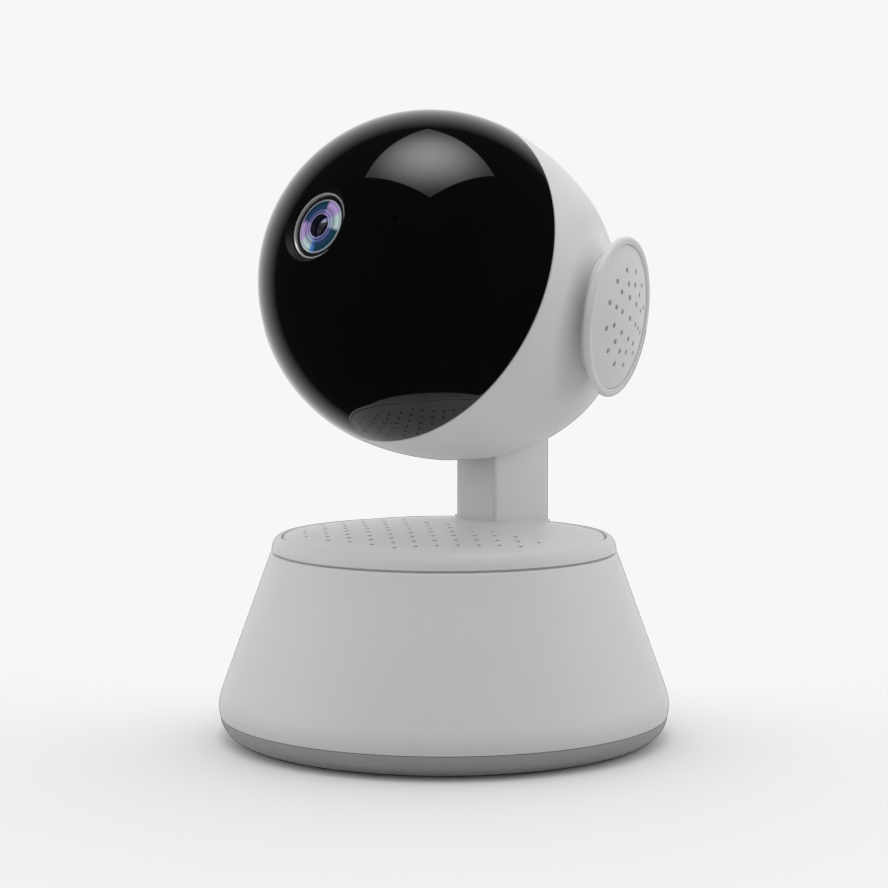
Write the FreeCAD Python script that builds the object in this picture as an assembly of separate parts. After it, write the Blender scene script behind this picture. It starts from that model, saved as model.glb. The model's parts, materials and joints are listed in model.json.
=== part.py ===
import FreeCAD, Part
import os
from math import acos, cos, pi, radians, sin, sqrt, tan
from FreeCAD import Placement, Rotation, Vector

# A pan and tilt security camera.  Millimetres, +Z up, the front faces -Y, the
# ears point along X, and the origin is the centre of the footprint at the
# surface it stands on.  The head is stored looking slightly upwards.

# ---- fits shared by many pieces ----
running = 0.05              # radial clearance of every turning fit
seam = 0.12                 # visible joint between two outer pieces
gear_play = 0.12            # extra centre distance of meshed gears
tooth_play = 0.20           # how much thinner a tooth is than its gap
beyond = 60.0               # cutting tools reach this far, past every piece

# ---- base ----
foot_h = 0.5                # how far the rubber feet stand below the cover
foot_r = 4.5
foot_sunk = 0.9             # depth of the feet's pockets in the cover
foot_ring_r = 34.0
cover_bottom_r = 41.4       # radius of the cover's flat underside
cover_top_r = 45.0          # radius of the cover's upper edge
cover_top_z = 4.7
cover_floor_t = 1.8
lip_h = 1.8                 # upstand of the cover inside the housing
lip_t = 1.4
lip_play = 0.15
vent_first_x = 12.0         # vent slots in the cover
vent_pitch = 3.2
vent_w = 1.4
vent_half_l = 7.0
base_wall = 2.2
base_rim_t = 0.4            # extra wall along the housing's lower edge
base_max_r = 45.35          # widest point of the housing
base_max_z = 7.4
cone_low_z = 11.4           # the straight side runs from here ...
cone_top_z = 37.2           # ... to here
cone_top_r = 34.75
cone_angle = 19.9           # side against the vertical
deck_top_z = 36.4
deck_t = 2.0
groove_h = 0.4              # shadow groove under the cap ring
groove_depth = 1.0
cap_ring_top_z = 40.4
cap_ring_inner_r = 32.6
cap_ring_edge_w = 0.55      # flat top edge of the cap ring
base_screw_ring_r = 37.5
base_screw_r = 0.9
base_screw_l = 8.5
base_screw_head_r = 2.2
base_screw_sunk = 0.9       # depth of the counterbores in the cover
base_boss_r = 3.0
base_boss_top_z = 24.0
insert_r = 4.0              # insert for a camera stand
insert_bore_r = 2.55
insert_l = 7.0
insert_boss_wall = 1.8
ballast_r = 19.0
ballast_t = 2.2

# ---- main board and rear openings ----
board_low_z = 7.0
board_t = 1.6
board_r = 38.0
board_front_y = -22.0
board_post_r = 2.4
board_screw_r = 0.8
board_post_spots = [(-24, 14), (24, 14), (-24, -16), (24, -16)]
chips = ((8, 14, 11, 11, 0.9), (-8, 22, 8, 6, 0.8), (24, -2, 7, 7, 0.9), (17, 22, 4, 3, 0.8))
port_play = 0.5             # free edge around a socket in the rear wall
inlet_w = 7.6
inlet_h = 2.8
inlet_depth = 5.6
inlet_back_y = 42.3
card_x = -15.0
card_w = 12.0
card_h = 1.5
card_depth = 12.4
card_back_y = 39.4
button_x = 15.0
button_r = 1.6
button_play = 0.08
button_above_board = 2.0
button_travel = 0.5
button_inner_y = 36.6
button_outer_y = 42.2
button_flange_w = 0.7
switch_front_y = 31.0
switch_h = 3.2

# ---- base loudspeaker ----
speaker_y = -27.0
speaker_half_w = 10.0
speaker_half_d = 4.6
speaker_h = 4.5
sound_slot_pitch = 2.6
sound_slot_w = 1.2
sound_slot_half_l = 3.2

# ---- turntable ----
disc_gap = 0.3              # turntable to cap ring
disc_curve_r = 188.7        # radius of the slightly domed turntable top
disc_apex_z = 43.09
disc_wall = 1.8
disc_skirt_z = 37.9
hole_pitch = 4.02           # square grid of sound holes in the turntable
hole_grid_turn = 49.0
hole_r = 0.52
hole_field_r = 28.7
hole_back_y = -1.0          # the holes fill only the half ahead of this line
grid_shift_x = 0.08         # where the grid sits, in pitches
grid_shift_y = -0.31
glide_outer_r = 27.0
glide_inner_r = 24.5
glide_top_z = 37.6
hub_r = 7.4
hub_bore_r = 5.2
bearing_wall = 2.0
bearing_flange_w = 1.8
bearing_flange_t = 0.6
clip_inner_r = 6.6          # retaining clip at the hub's lower end
clip_w = 2.8
clip_t = 0.6
clip_land = 0.8
clip_gap = 4.4

# ---- pan drive ----
gear_module = 0.8
pan_gear_teeth = 48
pan_pinion_teeth = 12
pan_gear_t = 3.0
pan_gear_top_z = 33.4
pan_pinion_over = 0.2       # the pinion stands past the gear on both sides
pan_motor_r = 14.0
pan_motor_h = 18.0
pan_motor_top_z = 28.6
pan_shaft_r = 1.5
pan_shaft_offset = 8.0      # shaft from the motor's middle
motor_ear_reach = 17.5
motor_ear_r = 3.5
motor_ear_t = 0.9
motor_boss_r = 3.0
motor_screw_r = 1.0
motor_screw_l = 5.0

# ---- post ----
post_w = 10.9               # along X
post_front_y = 9.24
post_back_y = 25.85
post_wall = 1.8
post_corner_r = 1.2
post_top_r = 5.0
post_above_axle = 8.0
post_collar_h = 0.55
post_collar_out = 0.5
post_floor_z = 46.5         # bottom of the cable duct
post_duct_below_axle = 6.0
post_screw_inset = 1.9
post_screw_r = 0.9
post_screw_l = 8.0
cable_half_w = 2.4          # passage for the cable through post and disc
cable_half_d = 4.0
back_cover_t = 1.2
back_cover_margin = 1.3     # post's side wall beside the back cover
back_cover_end = 1.0

# ---- head ----
head_r = 34.05              # spherical front
head_back = 46.4            # length of the egg behind the sphere's centre
head_wall = 2.0
mask_wall = 1.5
head_y = -4.0               # centre of the spherical front
head_z = 91.0
head_elevation = 20.0       # where the lens looks in the stored pose
rim_forward = 3.1           # the mask's rim lies this far ahead of the centre
seal_outer_r = 32.6         # rubber ring between mask and shell
seal_t = 0.6
spigot_play = 0.25          # mask's inner collar to the shell
spigot_t = 1.4
spigot_end = 9.0
sensor_hole_x = 17.0        # pinhole of the brightness sensor in the mask
sensor_hole_z = 2.1
sensor_hole_r = 0.4

# ---- head frame ----
frame_front = 2.9
frame_t = 2.0
frame_middle_hole_r = 6.0
frame_window_ring_r = 19.0
frame_window_r = 3.4
frame_lug_ring_r = 28.0
frame_lug_r = 2.4
frame_screw_r = 0.9
frame_screw_l = 8.0
spacer_at = 12.0            # board spacers stand at +-this both ways
spacer_r = 1.8
stud_r = 0.7
cheek_inner_x = 8.8         # frame arms on both sides of the post
cheek_t = 2.0
cheek_r = 7.5

# ---- tilt drive ----
tilt_back = 22.0            # the tilt axis lies this far behind the centre
tilt_down = 18.0            # travel from the stored pose
tilt_up = 35.0
slot_gap = 0.6              # free space around the post in the shell's slot
axle_r = 2.0
axle_head_w = 1.2
axle_head_t = 0.8
bush_wall = 1.1
bush_flange_t = 1.2
bush_inner_x = 1.2
tilt_gear_teeth = 36
tilt_pinion_teeth = 12
tilt_gear_module = 0.6
tilt_gear_t = 1.7
gear_screw_ring_r = 5.4
gear_screw_r = 0.6
gear_screw_l = 4.4
tilt_motor_r = 7.5
tilt_motor_l = 11.0
tilt_shaft_r = 0.75
motor_lift = 35.0           # where the tilt motor sits around the axis
shield_r = 20.2             # curved blind behind the slot
shield_t = 1.0
shield_half_w = 8.0
shield_span = 52.0

# ---- lens and the head's boards ----
lens_front = 32.0           # front of the trim ring ahead of the centre
mask_hole_r = 6.75
mask_hole_bevel = 0.9
trim_outer_r = 6.65
trim_inner_r = 6.25
trim_l = 2.2
trim_edge = 0.12
barrel_r = 6.2
barrel_l = 13.0
barrel_front_l = 6.0        # wide front part of the barrel
barrel_thread_r = 5.2
barrel_rear_r = 2.6
barrel_sunk = 0.5           # barrel's front edge behind the trim's
front_glass_r = 5.5
front_glass_t = 1.7
inner_glass_r = 3.8
inner_glass_z = 28.2        # its middle ahead of the centre
glass_play = 0.03
holder_half = 7.0
holder_foot_t = 3.0
holder_l = 9.5
sensor_board_y = -14.0
sensor_board_t = 1.2
sensor_board_half = 15.5
image_sensor_half_w = 3.4
image_sensor_half_h = 2.9
image_sensor_t = 0.9
ir_board_y = -22.5
ir_board_t = 1.0
ir_board_r = 21.5
ir_board_hole_r = 7.6
ir_led_count = 8
ir_led_ring_r = 15.0
ir_led_half = 1.6
ir_led_foot_t = 0.8
ir_led_dome_r = 1.3

# ---- ears ----
ear_x = 30.8                # centre of the ear's rim plane
ear_rise = 1.0              # the ear's centre above the tilt axis
ear_sweep = 19.3            # the ear's axis leans back by this much
ear_r = 15.76
ear_back = 1.3              # rim's back edge behind the rim plane
ear_dish = 0.6              # further depth of the ear's back at the neck
ear_bead_r = 0.75
ear_neck_r = 11.5
ear_neck_l = 6.5
ear_neck_t = 1.4
ear_floor = 0.7             # seat of the grille behind the rim plane
ear_rim_w = 1.5
ear_play = 0.12
ear_dome_h = 2.6
grille_edge_h = 0.25
grille_t = 1.0
ear_hole_r = 0.55
ear_hole_rings = ((4.15, 6), (6.85, 12), (9.5, 12))

O = Vector(0, 0, 0)
X = Vector(1, 0, 0)
Y = Vector(0, 1, 0)
Z = Vector(0, 0, 1)

# ---- values that follow from the ones above ----
cover_floor_z = foot_h + cover_floor_t
housing_low_z = cover_top_z + seam
housing_inner_r = base_max_r - base_wall - base_rim_t
cone_low_r = cone_top_r + (cone_top_z - cone_low_z) * tan(radians(cone_angle))
deck_low_z = deck_top_z - deck_t
groove_r = cone_top_r - groove_depth
board_top_z = board_low_z + board_t
button_z = board_top_z + button_above_board
bearing_r = hub_r + running + bearing_wall
disc_r = cap_ring_inner_r - disc_gap
disc_centre_z = disc_apex_z - disc_curve_r
pan_centre_distance = gear_module * (pan_gear_teeth + pan_pinion_teeth) / 2 + gear_play
pan_gear_low_z = pan_gear_top_z - pan_gear_t
hub_low_z = pan_gear_low_z - clip_t - clip_land
motor_x = -(pan_centre_distance - pan_shaft_offset)
motor_ear_low_z = pan_motor_top_z - motor_ear_t
post_half = post_w / 2
post_mid_y = (post_front_y + post_back_y) / 2
post_screw_ys = (post_front_y + post_wall + post_screw_inset, post_back_y - post_wall - post_screw_inset)
post_seat_z = glide_top_z + 0.4
back_cover_half = post_half - back_cover_margin
spigot_r = head_r - head_wall - spigot_play
frame_back_y = frame_t - frame_front
arm_out = cheek_inner_x + cheek_t
tilt_centre_distance = tilt_gear_module * (tilt_gear_teeth + tilt_pinion_teeth) / 2 + gear_play
tilt_motor_y = tilt_back - tilt_centre_distance * cos(radians(motor_lift))
tilt_motor_z = tilt_centre_distance * sin(radians(motor_lift))
bush_r = axle_r + running + bush_wall
barrel_front = lens_front - barrel_sunk

head_place = Placement(Vector(0, head_y, head_z), Rotation(X, -head_elevation))
tilt_axis = head_place.multVec(Vector(0, tilt_back, 0))
post_head_z = tilt_axis.z - post_duct_below_axle
post_reach_front = tilt_axis.y - post_front_y
post_reach_back = post_back_y - tilt_axis.y


def export(name, shape):
    """Write one node, and refuse a shape that is not sound."""
    if not shape.isValid():
        raise ValueError("unsound shape: " + name)
    shape.exportStep("parts/" + name + ".step")


def line(a, b):
    return Part.LineSegment(Vector(*a), Vector(*b)).toShape()


def arc(a, middle, b):
    return Part.Arc(Vector(*a), Vector(*middle), Vector(*b)).toShape()


def outline(start, *steps):
    """Closed profile of (radius, height) corners; a pair of them is an arc through the first."""
    edges = []
    at = start
    for step in steps + (start,):
        if isinstance(step[0], tuple):
            middle, end = step
            edges.append(arc((at[0], 0, at[1]), (middle[0], 0, middle[1]), (end[0], 0, end[1])))
            at = end
        elif step != at:
            edges.append(line((at[0], 0, at[1]), (step[0], 0, step[1])))
            at = step
    return edges


def spin(edges):
    """Turn a closed outline once around Z."""
    wire = Part.Wire(Part.__sortEdges__(edges))
    return Part.makeSolid(Part.Face(wire).revolve(O, Z, 360))


def lathe(points):
    """Solid of revolution about Z from (radius, height) corners."""
    corners = [Vector(r, 0, z) for r, z in points]
    face = Part.Face(Part.makePolygon(corners + corners[:1]))
    return face.revolve(O, Z, 360)


def rod(r, start, end):
    """Round bar between two points."""
    a = Vector(*start)
    b = Vector(*end)
    return Part.makeCylinder(r, (b - a).Length, a, b - a)


def upright_rod(r, spot, low, high):
    """Round bar along Z at an (x, y) spot."""
    return rod(r, (spot[0], spot[1], low), (spot[0], spot[1], high))


def block(low, high):
    """Box between two corners."""
    a = Vector(*low)
    b = Vector(*high)
    return Part.makeBox(b.x - a.x, b.y - a.y, b.z - a.z, a)


def rounded_block(low, high, r):
    """Box with its four upright edges rounded."""
    box = block(low, high)
    upright = [e for e in box.Edges if abs(e.tangentAt(e.FirstParameter).z) > 0.9]
    return box.makeFillet(r, upright)


def ring(outer_r, inner_r, low, high):
    return rod(outer_r, (0, 0, low), (0, 0, high)).cut(rod(inner_r, (0, 0, low), (0, 0, high)))


def spots(radius, count, first=0.0):
    """Points evenly spaced on a circle around Z."""
    angles = [radians(first + 360.0 * k / count) for k in range(count)]
    return [(radius * cos(a), radius * sin(a)) for a in angles]


def square_spots(reach):
    return [(x, z) for x in (-reach, reach) for z in (-reach, reach)]


def in_head(shape):
    """Carry a piece from the head's own frame to its stored place."""
    placed = shape.copy()
    placed.Placement = head_place.multiply(placed.Placement)
    return placed


def facing_front(shape):
    """Turn a piece that was built along Z so that its top faces the front."""
    turned = shape.copy()
    turned.Placement = Placement(O, Rotation(X, 90)).multiply(turned.Placement)
    return turned


def lay_on_x(shape, turn):
    """Lay a piece built along Z onto +X; its +X side ends at angle turn from +Y towards +Z."""
    laid = shape.copy()
    spun = Placement(O, Rotation(X, turn))
    basis = Placement(O, Rotation(Y, Z, X, "ZXY"))
    laid.Placement = spun.multiply(basis).multiply(laid.Placement)
    return laid


def screw(head_r, head_h, shank_r, length):
    """Pan-head screw: head above z = 0, shank below, cross recess in the head."""
    body = rod(head_r, (0, 0, 0), (0, 0, head_h)).fuse(rod(shank_r, (0, 0, -length), (0, 0, 0)))
    arm = head_r * 0.6
    half = head_r * 0.14
    depth = head_h * 0.5
    cross = block((-arm, -half, head_h - depth), (arm, half, head_h)).fuse(
        block((-half, -arm, head_h - depth), (half, arm, head_h)))
    return body.cut(cross).removeSplitter()


def screw_from_below(head_r, head_h, shank_r, length, x, y, seat_z):
    """Screw whose head lies under the seat and whose shank points up."""
    one = screw(head_r, head_h, shank_r, length)
    one.rotate(O, X, 180)
    one.translate(Vector(x, y, seat_z))
    return one


def involute(angle):
    return tan(angle) - angle


def spur_gear(teeth, module, thickness, bore_r, first_tooth=0.0):
    """Spur gear along Z; first_tooth is the angle of a tooth's middle."""
    pressure = radians(20)
    pitch_r = module * teeth / 2
    base_r = pitch_r * cos(pressure)
    tip_r = pitch_r + 0.85 * module
    root_r = pitch_r - 1.15 * module
    half_at_base = pi / (2 * teeth) - tooth_play / (4 * pitch_r) + involute(pressure)

    def half_angle(r):
        if r <= base_r:
            return half_at_base
        return half_at_base - involute(acos(base_r / r))

    steps = 4
    low_r = max(root_r, base_r)
    radii = [low_r + (tip_r - low_r) * k / steps for k in range(steps + 1)]
    if root_r < base_r:
        radii = [root_r] + radii
    corners = []
    for tooth in range(teeth):
        middle = radians(first_tooth) + 2 * pi * tooth / teeth
        flank = [(r, middle - half_angle(r)) for r in radii]
        flank += [(r, middle + half_angle(r)) for r in reversed(radii)]
        corners += [Vector(r * cos(a), r * sin(a), 0) for r, a in flank]
    face = Part.Face(Part.makePolygon(corners + corners[:1]))
    return face.extrude(Z * thickness).cut(rod(bore_r, (0, 0, 0), (0, 0, thickness)))


def fan_prism(half_w, reach, low_turn, high_turn):
    """Prism along X over a fan around the X axis; turn 0 points straight down."""
    fan = [Vector(-half_w, 0, 0)]
    steps = 4
    for k in range(steps + 1):
        a = radians(low_turn + (high_turn - low_turn) * k / steps)
        fan.append(Vector(-half_w, reach * sin(a), -reach * cos(a)))
    return Part.Face(Part.makePolygon(fan + fan[:1])).extrude(X * (2 * half_w))


# ---------------------------------------------------------------- base

screw_spots = spots(base_screw_ring_r, 4, 45)
foot_spots = spots(foot_ring_r, 4, 0)


def cone_inner_r(z):
    """Radius inside the housing's straight side at a height."""
    return cone_top_r + (cone_top_z - z) * tan(radians(cone_angle)) - base_wall


def base_housing():
    """Round tapering shell with a deck, screw bosses and rear openings."""
    shell = spin(outline(
        (cover_top_r, housing_low_z), ((base_max_r, base_max_z), (cone_low_r, cone_low_z)),
        (cone_top_r, cone_top_z), (groove_r, cone_top_z), (groove_r, deck_top_z),
        (bearing_r, deck_top_z), (bearing_r, deck_low_z), (cone_inner_r(deck_low_z), deck_low_z),
        (cone_inner_r(cone_low_z), cone_low_z), (housing_inner_r, base_max_z),
        (housing_inner_r, housing_low_z)))
    envelope = lathe([(0, housing_low_z), (cover_top_r, housing_low_z), (base_max_r, base_max_z),
                      (cone_low_r, cone_low_z), (cone_top_r, cone_top_z), (0, cone_top_z)])
    boss_low_z = cover_floor_z + seam
    pilot_top_z = foot_h + base_screw_sunk + base_screw_l + 1.0
    for spot in screw_spots:
        boss = upright_rod(base_boss_r, spot, boss_low_z, base_boss_top_z).common(envelope)
        foot = upright_rod(base_boss_r, spot, boss_low_z, housing_low_z)
        shell = shell.fuse(boss).fuse(foot)
        shell = shell.cut(upright_rod(base_screw_r, spot, boss_low_z, pilot_top_z))
    for side in (-1, 1):
        spot = (motor_x, side * motor_ear_reach)
        shell = shell.fuse(upright_rod(motor_boss_r, spot, pan_motor_top_z, deck_low_z + 0.5))
        pilot_end = pan_motor_top_z + motor_screw_l
        shell = shell.cut(upright_rod(motor_screw_r, spot, pan_motor_top_z, pilot_end))
    # sound slots in the deck above the speaker
    for k in range(-3, 4):
        x = sound_slot_pitch * k
        half = sound_slot_w / 2
        shell = shell.cut(rounded_block(
            (x - half, speaker_y - sound_slot_half_l, deck_low_z - 1),
            (x + half, speaker_y + sound_slot_half_l, deck_top_z + 1), half * 0.9))
    # rear: window for the supply socket, card slot and the reset button's hole
    inside_y = board_r - 8.0
    for x, w, h in ((0.0, inlet_w, inlet_h), (card_x, card_w, card_h)):
        half = w / 2 + port_play
        shell = shell.cut(block((x - half, inside_y, board_top_z - port_play),
                                (x + half, beyond, board_top_z + h + port_play)))
    hole = rod(button_r + button_play, (button_x, inside_y, button_z), (button_x, beyond, button_z))
    return shell.cut(hole).removeSplitter()


def base_cover():
    """Shallow tray that closes the base, with a lip inside the housing."""
    lip_r = housing_inner_r - lip_play
    bend_r = cover_bottom_r + 0.72 * (cover_top_r - cover_bottom_r)
    bend_z = foot_h + 0.40 * (cover_top_z - foot_h)
    tray = spin(outline(
        (0, foot_h), (cover_bottom_r, foot_h), ((bend_r, bend_z), (cover_top_r, cover_top_z)),
        (lip_r, cover_top_z), (lip_r, cover_top_z + lip_h), (lip_r - lip_t, cover_top_z + lip_h),
        (lip_r - lip_t, cover_floor_z), (0, cover_floor_z)))
    into_floor = cover_floor_z - 0.5
    tray = tray.fuse(rod(insert_r + insert_boss_wall, (0, 0, into_floor), (0, 0, foot_h + insert_l + 1.0)))
    tray = tray.cut(rod(insert_r, (0, 0, foot_h), (0, 0, foot_h + insert_l)))
    for spot in board_post_spots:
        tray = tray.fuse(upright_rod(board_post_r, spot, into_floor, board_low_z))
        tray = tray.cut(upright_rod(board_screw_r, spot, cover_floor_z, board_low_z))
    for spot in screw_spots:
        tray = tray.cut(upright_rod(base_screw_r + 0.4, spot, foot_h, cover_floor_z))
        tray = tray.cut(upright_rod(base_screw_head_r + 0.2, spot, foot_h, foot_h + base_screw_sunk))
    for spot in foot_spots:
        tray = tray.cut(upright_rod(foot_r, spot, foot_h, foot_h + foot_sunk))
    half = vent_w / 2
    for side in (-1, 1):
        for k in range(3):
            x = side * (vent_first_x + vent_pitch * k)
            tray = tray.cut(rounded_block((x - half, -vent_half_l, foot_h - 1),
                                          (x + half, vent_half_l, cover_floor_z + 1), half * 0.9))
    return tray.removeSplitter()


def rubber_feet():
    """Four pads in the cover's pockets, a little smaller below it."""
    tread_r = foot_r - 0.5
    pads = []
    for x, y in foot_spots:
        pad = lathe([(0, 0), (tread_r - 0.4, 0), (tread_r, foot_h / 2), (tread_r, foot_h),
                     (foot_r, foot_h), (foot_r, foot_h + foot_sunk), (0, foot_h + foot_sunk)])
        pad.translate(Vector(x, y, 0))
        pads.append(pad)
    return Part.makeCompound(pads)


def cover_screws():
    """Four screws that pull the cover onto the housing's bosses."""
    return Part.makeCompound([
        screw_from_below(base_screw_head_r, 0.8, base_screw_r, base_screw_l, x, y, foot_h + base_screw_sunk)
        for x, y in screw_spots])


def ballast_plate():
    """Steel ring that keeps the light base down."""
    plate = ring(ballast_r, insert_r + insert_boss_wall + 0.4, cover_floor_z, cover_floor_z + ballast_t)
    return plate.cut(Part.makeCompound([
        upright_rod(board_post_r + 0.6, spot, 0, board_low_z) for spot in board_post_spots]))


def tripod_insert():
    """Brass insert with the thread of a camera stand, open downwards."""
    body = ring(insert_r, insert_bore_r, foot_h, foot_h + insert_l)
    groove_low = foot_h + 2.6
    return body.cut(ring(insert_r + 1, insert_r - 0.35, groove_low, groove_low + 0.8))


def cap_ring():
    """Sloping ring around the turntable, above the shadow groove."""
    low = cone_top_z + groove_h
    low_r = cone_top_r - seam
    top_r = cap_ring_inner_r + cap_ring_edge_w
    bulge = 0.28
    middle = ((low_r + top_r) / 2 + bulge, (low + cap_ring_top_z) / 2 + bulge / 3)
    return spin(outline(
        (low_r, low), (middle, (top_r, cap_ring_top_z)), (cap_ring_inner_r, cap_ring_top_z),
        (cap_ring_inner_r, deck_top_z), (groove_r, deck_top_z), (groove_r, low)))


def main_board():
    """Circuit board that follows the round base, with its larger chips."""
    board = rod(board_r, (0, 0, board_low_z), (0, 0, board_top_z))
    board = board.cut(block((-beyond, -beyond, board_low_z - 1), (beyond, board_front_y, board_top_z + 1)))
    board = board.cut(rod(insert_r + insert_boss_wall + 0.5, (0, 0, 0), (0, 0, beyond)))
    for spot in screw_spots:
        board = board.cut(upright_rod(base_boss_r + 0.6, spot, 0, beyond))
    for spot in board_post_spots:
        board = board.cut(upright_rod(board_screw_r + 0.2, spot, 0, beyond))
    for x, y, w, d, h in chips:
        board = board.fuse(block((x, y, board_low_z + 1), (x + w, y + d, board_top_z + h)))
    return board.removeSplitter()


def board_screws():
    made = []
    for x, y in board_post_spots:
        one = screw(1.7, 0.7, board_screw_r, board_top_z - cover_floor_z - 1.9)
        one.translate(Vector(x, y, board_top_z))
        made.append(one)
    return Part.makeCompound(made)


def power_inlet():
    """Metal shell of the small supply socket, open to the rear, with its tongue."""
    half = inlet_w / 2
    front = inlet_back_y - inlet_depth
    low = board_top_z
    top = low + inlet_h
    sheet = 0.4
    shell = block((-half, front, low), (half, inlet_back_y, top))
    hollow = block((-half + sheet, front + 0.6, low + sheet), (half - sheet, inlet_back_y + 1, top - sheet))
    tongue = block((-half + 1.6, front + 0.5, low + 1.1), (half - 1.6, inlet_back_y - 0.8, low + 1.7))
    return shell.cut(hollow).fuse(tongue).removeSplitter()


def card_socket():
    """Flat metal cage for a memory card, open to the rear."""
    half = card_w / 2
    low = board_top_z
    top = low + card_h
    front = card_back_y - card_depth
    sheet = 0.35
    cage = block((card_x - half, front, low), (card_x + half, card_back_y, top))
    return cage.cut(block((card_x - half + sheet, front + 1, low + sheet),
                          (card_x + half - sheet, card_back_y + 1, top - sheet)))


def button_switch():
    """Side-acting switch on the board, in line with the reset button."""
    half = 2.2
    back_y = button_inner_y - 0.9
    body = block((button_x - half, switch_front_y, board_top_z),
                 (button_x + half, back_y, board_top_z + switch_h))
    plunger_end = button_inner_y - button_travel - 0.1
    return body.fuse(rod(0.9, (button_x, back_y - 0.1, button_z),
                         (button_x, plunger_end, button_z))).removeSplitter()


def reset_button():
    """Round push button through the rear wall, with a flange inside."""
    stem = rod(button_r, (button_x, button_inner_y, button_z), (button_x, button_outer_y, button_z))
    flange = rod(button_r + button_flange_w, (button_x, button_inner_y, button_z),
                 (button_x, button_inner_y + button_flange_w, button_z))
    return stem.fuse(flange).removeSplitter()


def pan_motor():
    """Round geared stepper with mounting ears and an offset shaft."""
    x = motor_x
    top = pan_motor_top_z
    can = rod(pan_motor_r, (x, 0, top - pan_motor_h), (x, 0, top))
    ears = block((x - motor_ear_r, -motor_ear_reach, motor_ear_low_z),
                 (x + motor_ear_r, motor_ear_reach, top))
    for side in (-1, 1):
        spot = (x, side * motor_ear_reach)
        ears = ears.fuse(upright_rod(motor_ear_r, spot, motor_ear_low_z, top))
        ears = ears.cut(upright_rod(motor_screw_r + 0.3, spot, top - 1, top + 1))
    shaft_spot = (-pan_centre_distance, 0)
    boss = upright_rod(3.2, shaft_spot, top, top + 0.8)
    shaft = upright_rod(pan_shaft_r, shaft_spot, top, pan_gear_top_z + 0.3)
    plug = block((x + pan_motor_r - 1.5, -5, top - 14), (x + pan_motor_r + 2.4, 5, top - 4))
    return can.fuse([ears, boss, shaft, plug]).removeSplitter()


def pan_motor_screws():
    return Part.makeCompound([
        screw_from_below(2.0, 0.9, motor_screw_r, motor_screw_l,
                         motor_x, side * motor_ear_reach, motor_ear_low_z)
        for side in (-1, 1)])


def pan_pinion():
    """Small gear on the pan motor's shaft, a tooth gap in line with the hub."""
    thickness = pan_gear_t + 2 * pan_pinion_over
    half_pitch = 180.0 / pan_pinion_teeth
    gear = spur_gear(pan_pinion_teeth, gear_module, thickness, pan_shaft_r + running, half_pitch)
    gear.translate(Vector(-pan_centre_distance, 0, pan_gear_low_z - pan_pinion_over))
    return gear


def pan_bearing():
    """Plastic bush in the deck that the turntable's hub turns in."""
    bore = hub_r + running
    low = deck_low_z - 0.6
    top = deck_top_z + bearing_flange_t
    flange_r = bearing_r + bearing_flange_w
    return lathe([(bore, low), (bearing_r, low), (bearing_r, deck_top_z), (flange_r, deck_top_z),
                  (flange_r, top), (bore, top)])


def glide_ring():
    """Low-friction ring on the deck that carries the turntable."""
    return ring(glide_outer_r, glide_inner_r, deck_top_z, glide_top_z)


def base_speaker():
    """Flat oval loudspeaker under the deck's sound slots."""
    low = deck_low_z - speaker_h
    rim = 1.2
    corner = speaker_half_d - 0.4
    half_w = speaker_half_w
    half_d = speaker_half_d
    frame = rounded_block((-half_w, speaker_y - half_d, low),
                          (half_w, speaker_y + half_d, deck_low_z), corner)
    half_w -= rim
    half_d -= rim
    cone = rounded_block((-half_w, speaker_y - half_d, deck_low_z - 1.4),
                         (half_w, speaker_y + half_d, deck_low_z + 1), corner - rim)
    magnet = rod(3.8, (0, speaker_y, low - 1.6), (0, speaker_y, low + 0.2))
    return frame.cut(cone).fuse(magnet).removeSplitter()


# ---------------------------------------------------------------- turntable

def curve_z(curve_r, centre_z, r):
    """Height of a domed surface at a radius."""
    return centre_z + sqrt(curve_r * curve_r - r * r)


def dome(inset, r):
    """Solid under the domed top surface, lowered by an inset."""
    curve = disc_curve_r - inset
    low = disc_skirt_z - 5
    middle = (r / 2, curve_z(curve, disc_centre_z, r / 2))
    return spin(outline(
        (0, low), (r, low), (r, curve_z(curve, disc_centre_z, r)), (middle, (0, disc_centre_z + curve))))


def hole_spots():
    """Square grid of sound holes in the half of the disc ahead of the post."""
    turn = radians(hole_grid_turn)
    reach = int(hole_field_r / hole_pitch) + 1
    found = []
    for i in range(-reach, reach + 1):
        for j in range(-reach, reach + 1):
            x = hole_pitch * ((i + grid_shift_x) * cos(turn) - (j + grid_shift_y) * sin(turn))
            y = hole_pitch * ((i + grid_shift_x) * sin(turn) + (j + grid_shift_y) * cos(turn))
            if sqrt(x * x + y * y) < hole_field_r and y < hole_back_y:
                found.append((x, y))
    return found


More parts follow.
